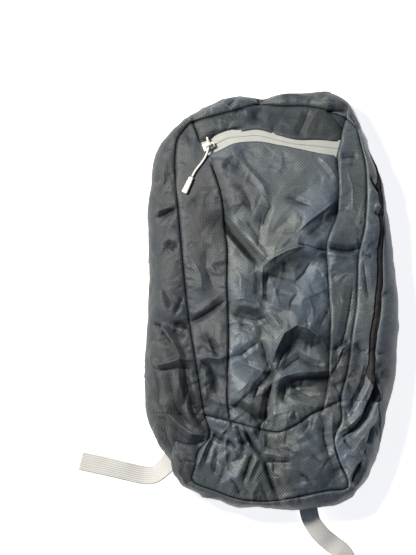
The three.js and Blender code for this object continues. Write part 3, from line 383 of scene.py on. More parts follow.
def axes_on(normal, heading):
    """Along, across and up for something that lies on a slope and points one way."""
    up = normal / np.linalg.norm(normal)
    along = np.asarray(heading, float) - up * np.dot(heading, up)
    along /= np.linalg.norm(along)
    return along, np.cross(up, along), up


# Moulded TPR: a soft matt rubber with a faint pebble, yellowed and rubbed at the free end
moulded_rubber, rubber_shader = new_material("moulded soft rubber", Roughness=0.48, Specular_IOR_Level=0.4)
rubber_place = add_node(moulded_rubber, "ShaderNodeUVMap", {"uv_map": "pattern"})
rubber_split = add_node(moulded_rubber, "ShaderNodeSeparateXYZ", Vector=rubber_place.outputs["UV"])
rubber_noise = add_node(
    moulded_rubber, "ShaderNodeTexNoise", Vector=rubber_place.outputs["UV"], Scale=260.0, Detail=3.0
).outputs["Fac"]
rubber_worn = add_node(
    moulded_rubber,
    "ShaderNodeMath",
    {"operation": "MULTIPLY_ADD", "use_clamp": True},
    _0=rubber_noise,
    _1=0.9,
    _2=-0.2,
)
rubber_foot = add_node(
    moulded_rubber,
    "ShaderNodeMapRange",
    Value=rubber_split.outputs["Y"],
    From_Min=0.013,
    From_Max=0.019,
    To_Min=0.0,
    To_Max=0.9,
)
rubber_stain = add_node(
    moulded_rubber,
    "ShaderNodeMath",
    {"operation": "MULTIPLY", "use_clamp": True},
    _0=rubber_worn.outputs[0],
    _1=rubber_foot.outputs["Result"],
)
finish(moulded_rubber, rubber_shader, rubber_stain, "ece4e1", "8d7f6c", rubber_noise, 0.25, 0.2)

grip_along, grip_across, grip_up = axes_on(
    GRIP_NORMAL, (math.cos(GRIP_HEADING), math.sin(GRIP_HEADING), 0.0)
)
shares = np.linspace(0, 1, GRIP_RINGS)
rounding = np.sqrt(np.clip(1 - ((2 * shares - 1) ** 2 - 0.78) / 0.22, 0, 1))
rounding = np.where((2 * shares - 1) ** 2 > 0.78, 0.62 + 0.38 * rounding, 1.0)
collar = 1 - 0.14 * np.exp(-(((shares - 0.17) / 0.03) ** 2))
ribs = 1 - 0.035 * sum(np.exp(-(((shares - at) / 0.022) ** 2)) for at in (0.62, 0.72, 0.82))
half_width = (GRIP_TOP_WIDTH + (GRIP_FOOT_WIDTH - GRIP_TOP_WIDTH) * shares) / 2 * rounding * collar * ribs
half_height = GRIP_HEIGHT / 2 * rounding * collar * ribs
angles = np.linspace(0, 2 * math.pi, GRIP_AROUND, endpoint=False)
squared = 0.5
ring_across = np.sign(np.cos(angles)) * np.abs(np.cos(angles)) ** squared
ring_up = np.sign(np.sin(angles)) * np.abs(np.sin(angles)) ** squared
rings = (
    GRIP_SEAT
    + ((shares - 0.5) * GRIP_LENGTH)[:, None, None] * grip_along
    + (half_width[:, None] * ring_across)[..., None] * grip_across
    + (GRIP_HEIGHT / 2 + half_height[:, None] * ring_up)[..., None] * grip_up
)
corners, faces = loft(in_frame(rings))
round_grip = np.tile(angles / (2 * math.pi) * GRIP_GIRTH, GRIP_RINGS)
down_grip = np.repeat(shares * GRIP_LENGTH * MM, GRIP_AROUND)
places = np.stack([round_grip, down_grip], axis=1)
pull_grip = add_piece("pull_grip_moulding", corners, faces, moulded_rubber, "pull_grip", places)
facing_out(pull_grip)

# The pocket's slider
# A small die-cast slider, painted off-white, with an arched bail over its body. The paint is
# rubbed through to the metal in small patches.
SLIDER_SEAT = np.array([-68.65, 165.31, 49.44])
SLIDER_NORMAL = np.array([-0.109, 0.197, 0.974])
SLIDER_ALONG = (0.934, 0.357, 0.0)
SLIDER_LENGTH = 13.0
SLIDER_WIDTH = 8.5
SLIDER_HEIGHT = 2.0
SLIDER_NECK = 0.62
BAIL_LENGTH = 6.6
BAIL_WIDTH = 3.0
BAIL_HEIGHT = 5.4
BAIL_WALL = 1.0

# Painted zinc: an even satin paint film, worn to dull metal where it is touched
painted_zinc, zinc_shader = new_material("painted die-cast zinc", Roughness=0.36)
zinc_worn = add_node(
    painted_zinc,
    "ShaderNodeMapRange",
    Value=mottle(painted_zinc, 900.0, 3.0),
    From_Min=0.6,
    From_Max=0.68,
    To_Min=0.0,
    To_Max=1.0,
)
finish(painted_zinc, zinc_shader, zinc_worn, "dcd8cd", "b3a483")


def plate_outline(length, width, neck, parts=10):
    """The outline of a slider's plate, wide at its mouth and narrow at its heel."""
    share = np.linspace(0, 1, parts)
    x = -length / 2 + length * share
    half = width / 2 * (1 - (1 - neck) * share**2)
    return np.concatenate([np.stack([x, -half], 1), np.stack([x[::-1], half[::-1]], 1)])


def bevelled(piece, width, segments=2):
    """Rounds a piece's edges and makes the result its mesh."""
    bevel = piece.modifiers.new("rounded edges", "BEVEL")
    bevel.width = width
    bevel.segments = segments
    bevel.limit_method = "ANGLE"
    bevel.angle_limit = math.radians(35)
    settled(piece)


def settled(piece):
    """Makes what a piece's modifiers show its own mesh."""
    graph = bpy.context.evaluated_depsgraph_get()
    shown = bpy.data.meshes.new_from_object(piece.evaluated_get(graph))
    piece.modifiers.clear()
    piece.data = shown


def on_slope(points, seat, axes):
    """Points of a piece's own plan laid on its seat."""
    along, across, up = axes
    points = np.asarray(points, float)
    return seat + points[:, :1] * along + points[:, 1:2] * across + points[:, 2:] * up


slider_axes = axes_on(SLIDER_NORMAL, SLIDER_ALONG)
outline = plate_outline(SLIDER_LENGTH, SLIDER_WIDTH, SLIDER_NECK)
levels = [0.0, 0.75, 0.78, 1.22, 1.25, SLIDER_HEIGHT]
shrink = [1.0, 1.0, 0.86, 0.86, 1.0, 1.0]
rings = np.stack(
    [
        on_slope(np.column_stack([outline * [1, s], np.full(len(outline), z)]), SLIDER_SEAT, slider_axes)
        for z, s in zip(levels, shrink)
    ]
)
corners, faces = loft(in_frame(rings))
bail_outside = [
    (-1, -0.5), (1, -0.5), (1, 0.72), (0.86, 0.92), (0.6, 1), (-0.6, 1), (-0.86, 0.92), (-1, 0.72),
]
bail_half = BAIL_LENGTH / 2
outside = np.array(
    [(x * bail_half, z * BAIL_HEIGHT if z > 0 else -1.0) for x, z in bail_outside]
)
inside = np.array(
    [
        (x * (bail_half - BAIL_WALL), z * (BAIL_HEIGHT - BAIL_WALL) if z > 0 else -1.0)
        for x, z in bail_outside
    ]
)
band = []
for x, z in np.concatenate([outside, inside]):
    for y in (-BAIL_WIDTH / 2, BAIL_WIDTH / 2):
        band.append((x, y, SLIDER_HEIGHT + z))
start = len(corners)
bail_count = len(outside)
corners = np.vstack([corners, in_frame(on_slope(band, SLIDER_SEAT, slider_axes))])
for i in range(bail_count):
    j = (i + 1) % bail_count
    o, p, q, r = start + 2 * i, start + 2 * j, start + 2 * (bail_count + i), start + 2 * (bail_count + j)
    faces += [(o, p, p + 1, o + 1), (q + 1, r + 1, r, q), (o, q, r, p), (o + 1, p + 1, r + 1, q + 1)]
pocket_slider = add_piece(
    "pocket_slider_casting", corners, faces, painted_zinc, "pocket_zip_slider"
)
facing_out(pocket_slider)
bevelled(pocket_slider, 0.00018)

# The bag's cut
# The front is sewn from six pieces of cloth: a yoke over the zip, a pocket below it, a panel at
# each side, a lower panel, and a gusset all round. Stations go round the front seam clockwise from
# the top left corner: seam x, seam y, rim x, rim y, rim height and the main zip's angle. Plan
# places are shares of half the width and half the length, and heights shares of the depth.
BAG_LENGTH = 450.0
BAG_WIDTH = 270.0
BAG_DEPTH = 62.0
BACK_LIFT = 5.3
BACK_SEAM_INSET = 14.0
MAIN_ZIP_WIDTH = 8.0
STATIONS = [
    (-0.64, 0.86, -0.69, 0.88, 0.38, 104), (-0.47, 0.89, -0.52, 0.93, 0.38, 104),
    (-0.28, 0.92, -0.32, 0.98, 0.4, 104), (-0.1, 0.95, -0.11, 0.98, 0.4, 104),
    (0.09, 0.94, 0.09, 0.99, 0.4, 104), (0.27, 0.94, 0.27, 1, 0.4, 104), (0.44, 0.92, 0.47, 1, 0.38, 104),
    (0.6, 0.88, 0.62, 0.95, 0.36, 100), (0.68, 0.83, 0.71, 0.84, 0.35, 92),
    (0.72, 0.74, 0.77, 0.74, 0.34, 78), (0.75, 0.66, 0.83, 0.66, 0.33, 62),
    (0.76, 0.53, 0.89, 0.53, 0.32, 46), (0.74, 0.34, 0.95, 0.34, 0.32, 40),
    (0.69, 0.21, 0.97, 0.21, 0.32, 39), (0.68, 0.09, 0.98, 0.09, 0.32, 36),
    (0.67, -0.03, 1, -0.03, 0.32, 31), (0.63, -0.19, 1, -0.19, 0.32, 27),
    (0.6, -0.34, 0.98, -0.35, 0.32, 28), (0.54, -0.49, 0.93, -0.49, 0.32, 46),
    (0.55, -0.58, 0.89, -0.59, 0.32, 60), (0.49, -0.67, 0.85, -0.68, 0.31, 74),
    (0.52, -0.76, 0.8, -0.77, 0.3, 86), (0.6, -0.9, 0.67, -0.91, 0.29, 94),
    (0.43, -0.92, 0.5, -0.97, 0.29, 96), (0.19, -0.95, 0.22, -0.99, 0.29, 96),
    (-0.04, -0.97, -0.04, -1, 0.29, 96), (-0.26, -0.96, -0.28, -0.99, 0.29, 96),
    (-0.46, -0.92, -0.49, -0.95, 0.29, 96), (-0.64, -0.87, -0.7, -0.89, 0.3, 96),
    (-0.62, -0.81, -0.79, -0.81, 0.32, 98), (-0.59, -0.73, -0.86, -0.73, 0.34, 100),
    (-0.5, -0.66, -0.93, -0.65, 0.36, 104), (-0.54, -0.56, -0.98, -0.55, 0.38, 108),
    (-0.57, -0.46, -1, -0.44, 0.4, 110), (-0.61, -0.31, -1, -0.3, 0.4, 112),
    (-0.66, -0.13, -0.99, -0.13, 0.4, 112), (-0.7, 0.08, -0.98, 0.08, 0.4, 112),
    (-0.74, 0.34, -0.98, 0.34, 0.4, 112), (-0.77, 0.54, -0.97, 0.54, 0.4, 112),
    (-0.78, 0.68, -0.93, 0.68, 0.4, 110), (-0.76, 0.77, -0.87, 0.77, 0.39, 108),
    (-0.71, 0.82, -0.78, 0.83, 0.38, 106),
]
TOP_RIGHT, ZIP_END_RIGHT, BASE_RIGHT, BASE_LEFT, CURVE_LEFT = 7, 18, 22, 28, 32
STATION_COUNT = len(STATIONS)
YOKE_LEFT = [(-0.64, 0.86), (-0.61, 0.82), (-0.58, 0.76)]
YOKE_RIGHT = [(0.6, 0.88), (0.57, 0.83), (0.55, 0.76)]
ZIP_UPPER_EDGE = [
    (-0.58, 0.76), (-0.48, 0.78), (-0.37, 0.81), (-0.25, 0.81), (-0.12, 0.82), (0.05, 0.79), (0.19, 0.77),
    (0.37, 0.77), (0.55, 0.76),
]
ZIP_LOWER_EDGE = [
    (-0.52, 0.69), (-0.41, 0.72), (-0.3, 0.75), (-0.13, 0.76), (0.07, 0.74), (0.23, 0.72), (0.39, 0.7),
    (0.52, 0.69),
]
POCKET_LEFT = [
    (-0.52, 0.69), (-0.45, 0.59), (-0.4, 0.48), (-0.38, 0.34), (-0.36, 0.24), (-0.36, 0.05),
    (-0.35, -0.12), (-0.35, -0.25), (-0.36, -0.38), (-0.36, -0.48), (-0.34, -0.59),
]
POCKET_RIGHT = [
    (0.52, 0.69), (0.53, 0.59), (0.53, 0.48), (0.51, 0.39), (0.45, 0.3), (0.43, 0.24), (0.44, 0.13),
    (0.45, 0), (0.46, -0.12), (0.45, -0.26), (0.44, -0.39), (0.4, -0.53),
]
CURVE_SEAM_LEFT = [(-0.54, -0.56), (-0.44, -0.575), (-0.34, -0.59)]
CURVE_SEAM_MIDDLE = [
    (-0.34, -0.59), (-0.21, -0.61), (-0.08, -0.63), (0.06, -0.64), (0.18, -0.61), (0.3, -0.56),
    (0.4, -0.53),
]
CURVE_SEAM_RIGHT = [(0.4, -0.53), (0.475, -0.51), (0.54, -0.49)]

PLAN_SCALE = np.array([BAG_WIDTH / 2, BAG_LENGTH / 2])
station_table = np.array(STATIONS)
seam_knots = station_table[:, 0:2] * PLAN_SCALE
rim_knots = station_table[:, 2:4] * PLAN_SCALE


def crown_height(x, y):
    """Height of the filled front over the table, before the cloth slackens into folds."""
    across = np.abs(x) / (BAG_WIDTH / 2)
    along = np.abs(y) / (BAG_LENGTH / 2)
    fall = np.where(y > 0, 0.5, 0.42)
    return BAG_DEPTH * (1 - 0.28 * across**2) * (1 - fall * along**4)


def at_station(column, place):
    """A column of the stations' table between two stations."""
    low = np.floor(place).astype(int)
    here = station_table[low % STATION_COUNT, column]
    there = station_table[(low + 1) % STATION_COUNT, column]
    return here + (there - here) * smooth_step(place - low)


def seam_places(start, end, parts):
    """Places round the front seam at equal distances between two stations."""
    tries = np.linspace(start, end, 60 * (end - start) + 1)
    gone = travelled(spline(seam_knots, (tries / STATION_COUNT) % 1, closed=True))
    return np.interp(np.linspace(0, gone[-1], parts + 1), gone, tries)


def on_front_seam(place):
    return spline(seam_knots, (place / STATION_COUNT) % 1, closed=True)


def sewn_line(places, parts):
    """A seam inside the front, as plan points at equal distances."""
    return even(spline(np.array(places) * PLAN_SCALE, np.linspace(0, 1, 600)), parts)


# The slack
# The cloth is too large for what is in the bag, so it lies in broad folds, flat facets between
# straight creases, and small puckers at the seams. All of it is one map of the cloth's rise over
# the filled shape, drawn on the bag's plan, from which every panel takes its height.
# Broad folds: from x, y to x, y, spread and rise, in the same shares as the seams.
BROAD_FOLDS = [
    (-0.4, 0.37, -0.09, 0.17, 0.08, -0.11), (-0.08, 0.19, 0.42, 0.28, 0.11, 0.1),
    (-0.02, 0.1, 0.41, 0.19, 0.08, -0.09), (0.36, 0.31, 0.53, 0.43, 0.09, -0.08),
    (-0.08, 0.06, -0.05, -0.6, 0.07, -0.12), (0.03, -0.12, 0.42, -0.09, 0.12, 0.08),
    (0.05, -0.25, 0.4, -0.22, 0.11, -0.08), (0, -0.4, 0.42, -0.35, 0.08, 0.07),
    (0, -0.48, 0.4, -0.43, 0.08, -0.08), (-0.33, 0.05, -0.11, -0.08, 0.1, 0.06),
    (-0.32, -0.1, -0.09, -0.12, 0.07, -0.06), (-0.3, -0.22, -0.09, -0.24, 0.09, 0.06),
    (-0.08, -0.65, 0.03, -0.93, 0.08, -0.1), (-0.28, -0.68, -0.3, -0.85, 0.09, 0.07),
    (0.22, -0.68, 0.36, -0.86, 0.12, 0.07), (-0.49, -0.65, -0.36, -0.74, 0.09, -0.1),
    (0.49, -0.67, 0.53, -0.82, 0.08, -0.11), (-0.92, -0.13, -0.66, -0.13, 0.07, -0.07),
    (0.43, 0.24, 0.68, 0.22, 0.07, -0.07), (-0.55, 0.93, -0.1, 0.95, 0.07, 0.05),
    (0.1, 0.96, 0.55, 0.95, 0.07, 0.06), (-0.12, 0.88, -0.06, 0.98, 0.05, -0.09),
]
BROAD_SHARE = 0.7
# Creases seen on this bag: their line in millimetres about the bag's middle, how wide they are to
# the left and to the right of it, and how far the cloth rises or falls there.
CREASES = [
    ([(-53, 85), (-43, 70), (-28, 53), (-15, 35)], 5, 3.5, -5.5),
    ([(-48, 89), (-35, 72), (-20, 55), (-7, 41)], 4, 9, 3),
    ([(-37, 152), (-22, 135), (-11, 122), (-4, 103)], 2.5, 3, 1.3),
    ([(-42, 122), (-32, 118), (-25, 105), (-22, 91)], 2.5, 3, -1.2),
    ([(-2, 100), (-7, 89), (-11, 78)], 3, 6, -2.2),
    ([(-28, 82), (-21, 73), (-13, 62)], 2.5, 2.5, -1.4),
    ([(-24, 65), (-14, 52), (-4, 39)], 2, 3, 1.4),
    ([(-54, 141), (-46, 146), (-32, 140)], 5, 5, -1.6),
    ([(-52, 92), (-42, 101), (-28, 103)], 5, 5, 1.2),
    ([(12, 108), (22, 107), (33, 102), (42, 99)], 3, 4, -1.4),
    ([(26, 70), (40, 83), (57, 96), (72, 108)], 16, 6, 4.2),
    ([(26, 58), (39, 55), (50, 52), (60, 52)], 6, 3, -3.2),
    ([(14, 76), (5, 60), (0, 48)], 6, 4, 1.2),
    ([(50, 154), (63, 141), (71, 126)], 8, 3, 1.8),
    ([(-11, 92), (-15, 65), (-17, 46)], 5, 5, -1.2),
    ([(-11, 33), (0, 42), (17, 51), (34, 55), (48, 51), (61, 47)], 10, 6, 5),
    ([(-7, 26), (9, 22), (24, 17), (33, 26), (41, 39)], 6, 7, -4),
    ([(-11, 33), (-11, 15), (-11, -2)], 7, 3.5, 2.6),
    ([(-5, 28), (-7, 11), (-7, -4)], 4, 8, -2.6),
    ([(-11, -3), (0, -9), (13, -15), (30, -17)], 4, 4, 1.4),
    ([(-7, -14), (0, -24), (10, -34)], 3, 3, 1.6),
    ([(30, -2), (46, 4), (59, 11)], 6, 6, 1.3),
    ([(50, -33), (55, -22), (61, -13)], 4, 4, -1.4),
    ([(-2, -83), (3, -57), (12, -39), (26, -30), (39, -34), (52, -45), (60, -59)], 12, 7, 5.2),
    ([(4, -78), (11, -61), (20, -49)], 4, 8, -3),
    ([(10, -78), (20, -70), (28, -65), (41, -72), (59, -77)], 4, 3, -3.4),
    ([(1, -91), (14, -84), (28, -80), (46, -80), (61, -79)], 5, 5, 3.6),
    ([(13, -91), (30, -88), (50, -87), (63, -85)], 3, 9, -3),
    ([(13, -91), (13, -102), (10, -113)], 3, 4, -2.2),
    ([(18, -90), (26, -100), (41, -107), (58, -107)], 4, 6, -1.8),
    ([(12, -104), (22, -110), (37, -115), (54, -120)], 3, 4, 1.8),
    ([(0, -89), (-4, -104), (-7, -120), (-9, -137)], 4, 4, -4.2),
    ([(5, -91), (0, -104), (-2, -117)], 3, 3, 1.8),
    ([(-2, -128), (11, -122), (26, -120)], 5, 5, 1.6),
    ([(-46, -3), (-33, -1), (-17, -4), (-9, -15)], 5, 7, 2.6),
    ([(-46, -17), (-30, -22), (-17, -24), (-7, -21)], 7, 3, -3.2),
    ([(-35, -29), (-27, -30), (-21, -36)], 2.5, 2.5, -1.4),
    ([(-46, -64), (-33, -61), (-23, -53), (-14, -47)], 3.5, 3, -2),
    ([(-13, -46), (-9, -57), (-7, -67), (-3, -78)], 3, 3, -2.4),
    ([(-36, -68), (-22, -74), (-4, -82)], 2.5, 3, 1.5),
    ([(4, -57), (0, -72), (-5, -85), (-16, -96), (-21, -111)], 4, 4, -3.6),
    ([(-18, -20), (-11, -28), (-4, -39)], 3, 3, 1.2),
    ([(-43, -43), (-35, -37), (-24, -41)], 6, 6, 1.2),
    ([(-41, -103), (-30, -96), (-24, -87)], 5, 5, 1.4),
    ([(-48, -115), (-35, -118), (-22, -126), (-11, -138)], 4, 5, -4.4),
    ([(-28, -111), (-20, -117), (-10, -126)], 5, 4, 2.2),
    ([(40, 207), (34, 191), (27, 176)], 6, 4, -1.8),
    ([(50, 207), (41, 191), (35, 175)], 5, 6, 1.3),
    ([(64, 202), (72, 193), (78, 184)], 5, 5, -1.5),
    ([(-80, 173), (-72, 175), (-63, 176), (-50, 180), (-35, 184)], 2.2, 2, -4),
    ([(-73, 182), (-59, 184), (-39, 186), (-22, 187)], 3, 3, -1),
    ([(-62, 198), (-46, 193), (-24, 196)], 7, 7, 1),
    ([(-2, 204), (-7, 193), (-15, 185)], 6, 6, 0.9),
    ([(-48, 211), (-45, 216), (-40, 221)], 4, 4, -2.4),
    ([(-30, 207), (-35, 209), (-39, 205), (-37, 202)], 2.5, 2.5, -1.4),
    ([(-15, 224), (-15, 218), (-12, 213)], 4, 4, -3.2),
    ([(-11, 218), (3, 220), (20, 223), (37, 222)], 5, 5, 1.6),
    ([(54, 217), (61, 211), (67, 207)], 4, 5, 1.8),
    ([(59, 205), (70, 207), (84, 209)], 3, 3.5, -4),
    ([(85, 204), (91, 196), (97, 184)], 3, 3, -2.2),
    ([(-78, 200), (-62, 208), (-46, 210)], 4, 4, 1.2),
    ([(-113, 172), (-100, 187), (-83, 199)], 6, 6, 1.2),
    ([(71, 149), (78, 147), (87, 147)], 5, 3, 1.6),
    ([(74, 153), (83, 154), (93, 155)], 4, 3, -1.6),
    ([(80, 143), (87, 120), (87, 96)], 8, 8, 1.2),
    ([(64, 91), (78, 96), (98, 89)], 18, 10, -1.6),
    ([(61, 54), (74, 52), (84, 51), (96, 55)], 3.5, 3, -3.4),
    ([(63, 47), (76, 45), (91, 48)], 3, 9, 2),
    ([(87, 16), (83, -11), (78, -38), (72, -57)], 5, 5, -2),
    ([(65, -57), (74, -51), (83, -45)], 3, 4, -2.2),
    ([(70, -65), (75, -54), (82, -50)], 3, 3, 1.6),
    ([(62, -85), (72, -67), (77, -54)], 6, 6, -2.2),
    ([(65, -92), (72, -103), (74, -115)], 5, 5, -1.6),
    ([(-89, -26), (-77, -21), (-64, -13), (-51, -2)], 4, 2.5, -3.4),
    ([(-87, -20), (-75, -14), (-62, -7)], 5, 5, 1.3),
    ([(-76, -34), (-70, -47), (-64, -62)], 3, 3, 1.5),
    ([(-68, -43), (-63, -54), (-59, -64)], 3, 3, -1.5),
    ([(-80, -67), (-70, -64), (-59, -66), (-47, -63)], 3, 3, 2),
    ([(-77, -67), (-68, -77), (-63, -88), (-62, -104)], 2.5, 3, -2.8),
    ([(-54, -65), (-50, -78), (-52, -98)], 4, 4, -1.2),
    ([(-72, -78), (-73, -93), (-70, -113)], 3.5, 3.5, 1.2),
    ([(-89, 109), (-78, 102), (-63, 99)], 8, 8, -0.9),
    ([(-86, 41), (-78, 26), (-75, 4)], 5, 5, 0.9),
    ([(-71, 50), (-72, 33), (-63, 9)], 4, 4, -0.9),
    ([(-130, 87), (-124, 96), (-114, 98), (-104, 97)], 4, 3, 1.8),
    ([(-132, 88), (-120, 91), (-104, 98)], 3, 6, -2.6),
    ([(-122, 53), (-113, 59), (-101, 55)], 3, 4, -2.4),
    ([(-126, 48), (-118, 54), (-109, 52)], 3, 3, 1.2),
    ([(-125, 114), (-118, 124), (-113, 133)], 3, 3, -1.4),
    ([(-121, 109), (-118, 133), (-122, 152)], 4, 4, 1.3),
    ([(-123, 9), (-117, -1), (-112, -12)], 2.5, 2.5, -1.8),
    ([(-97, 1), (-102, -9), (-108, -18)], 2.5, 2.5, -1.6),
    ([(-110, -28), (-100, -28), (-90, -32)], 2.5, 2.5, -3),
    ([(-135, -27), (-129, -30), (-124, -28)], 2.5, 2.5, -1.8),
    ([(-127, -26), (-116, -36), (-107, -48), (-100, -63), (-98, -80)], 3, 4, 2.6),
    ([(-125, -36), (-117, -43), (-111, -50)], 3, 5, -2.4),
    ([(-110, -33), (-102, -39), (-93, -41)], 5, 5, -2.4),
    ([(-134, -65), (-125, -72), (-113, -70), (-100, -66), (-83, -67)], 3, 3, 2.4),
    ([(-135, -74), (-122, -77), (-104, -76), (-87, -76)], 3, 5, -2),
    ([(-133, -78), (-129, -98), (-130, -120)], 3, 3, -1.6),
    ([(-118, -74), (-114, -96), (-108, -120), (-93, -141)], 4, 4, -2.8),
    ([(-104, -72), (-100, -96), (-93, -120), (-80, -141)], 4, 5, 2),
    ([(-97, -72), (-91, -98), (-87, -122), (-74, -141)], 3.5, 3.5, -2.8),
    ([(-127, -109), (-120, -117), (-115, -126)], 2.5, 2.5, 1.6),
    ([(-115, -125), (-102, -137), (-87, -146), (-67, -149)], 4, 4, 2.8),
    ([(-113, -152), (-98, -157), (-83, -157), (-68, -151)], 6, 5, -2.4),
    ([(-115, -161), (-100, -170), (-85, -183)], 5, 5, 1.8),
    ([(-130, -135), (-122, -150), (-111, -170)], 4, 4, -1.4),
    ([(-66, -148), (-72, -159), (-78, -174), (-83, -185)], 3, 3, 2.2),
    ([(-63, -150), (-68, -163), (-73, -178)], 2.5, 3.5, -2),
    ([(-65, -146), (-60, -150), (-53, -154)], 2.5, 3, -2.6),
    ([(-50, -153), (-43, -157), (-39, -163)], 2.5, 3, -2),
    ([(-53, -154), (-51, -170), (-49, -185)], 2.5, 2.5, 1.5),
    ([(-61, -159), (-60, -174), (-64, -191)], 3, 3, -1.3),
    ([(-45, -176), (-37, -173), (-29, -170)], 3, 3, -1.5),
    ([(-39, -137), (-35, -149), (-28, -161)], 3, 2.5, -2.6),
    ([(-35, -137), (-30, -148), (-24, -161)], 2.5, 2.5, 1.5),
    ([(-30, -141), (-25, -153), (-17, -165), (-9, -175)], 2.5, 2.5, -3.2),
    ([(-24, -138), (-17, -152), (-11, -165)], 4, 4, 1.8),
    ([(-22, -167), (-26, -180), (-32, -198)], 2.5, 3.5, -3.4),
    ([(-16, -172), (-22, -183), (-27, -196)], 2.5, 2.5, 2.2),
    ([(-9, -175), (-5, -187), (-1, -199), (3, -210)], 2.5, 2.5, -3),
    ([(-4, -176), (0, -189), (5, -203)], 2.5, 2.5, 1.8),
    ([(-11, -167), (0, -168), (17, -172)], 4, 3, 2.4),
    ([(-9, -176), (4, -176), (20, -176)], 3, 8, -2.4),
    ([(-11, -146), (-9, -157), (-11, -167)], 4, 4, 1.6),
    ([(0, -186), (9, -192), (17, -200)], 3, 3, 1.6),
    ([(-46, -193), (-39, -202), (-35, -213)], 2.5, 2.5, -1.6),
    ([(-15, -196), (-20, -207), (-24, -217)], 3, 3, 1.4),
    ([(15, -141), (13, -157), (20, -170)], 6, 6, -1.8),
    ([(29, -143), (39, -155), (53, -166)], 3, 5, 1.6),
    ([(29, -188), (36, -193), (43, -202)], 2.5, 2.5, -1.6),
    ([(41, -168), (50, -176), (59, -180)], 3.5, 3.5, -1.4),
    ([(64, -124), (63, -143), (66, -165), (75, -189)], 8, 4, 3),
    ([(54, -135), (55, -152), (61, -172)], 6, 4, -2.6),
    ([(4, -217), (17, -213), (30, -211)], 3, 3, 1.4),
    ([(1, -202), (5, -214), (8, -224)], 3, 3, -1.6),
    ([(108, 133), (113, 125), (121, 116)], 2.5, 2.5, -3.2),
    ([(111, 102), (117, 100), (125, 96)], 3, 4, 2.2),
    ([(112, 95), (117, 91), (124, 89)], 3, 3, -1.6),
    ([(97, 50), (104, 46), (112, 45)], 3, 4, -1.6),
    ([(98, 41), (101, 22), (105, 0)], 3, 3, -1.2),
    ([(118, 0), (126, 4), (133, 10)], 2.5, 2.5, -1.6),
    ([(112, -34), (117, -37), (123, -40)], 2.5, 2.5, -1.2),
    ([(111, -57), (117, -59), (124, -60)], 3, 3, -1.6),
    ([(117, -67), (125, -80), (130, -89)], 3, 3, -1.2),
    ([(109, -63), (107, -85), (100, -104), (87, -124)], 4, 4, 2.6),
    ([(104, -72), (100, -93), (91, -111), (80, -126)], 3.5, 3.5, -2.6),
    ([(115, -91), (111, -111), (102, -128), (87, -143), (74, -150)], 4, 4, -3.2),
    ([(111, -83), (105, -107), (96, -124), (80, -139), (70, -146)], 3.5, 3.5, 2.6),
    ([(123, -96), (115, -122), (104, -143), (91, -161)], 5, 5, 2.4),
    ([(117, -135), (111, -150), (102, -165), (97, -172)], 3, 4, -2.2),
    ([(77, -152), (83, -159), (89, -164)], 2.5, 2.5, -1.8),
    ([(85, -200), (92, -189), (102, -175)], 3, 4, -4.4),
    ([(98, -170), (102, -163), (109, -155)], 3, 3, 1.8),
    ([(89, -49), (96, -57), (104, -57)], 3.5, 3.5, -1.4),
]
CREASE_SHARE = 1.35
EDGE_WIDTH = 0.8
EDGE_SHARE = 0.4
FACET_WIDTHS = 1.8
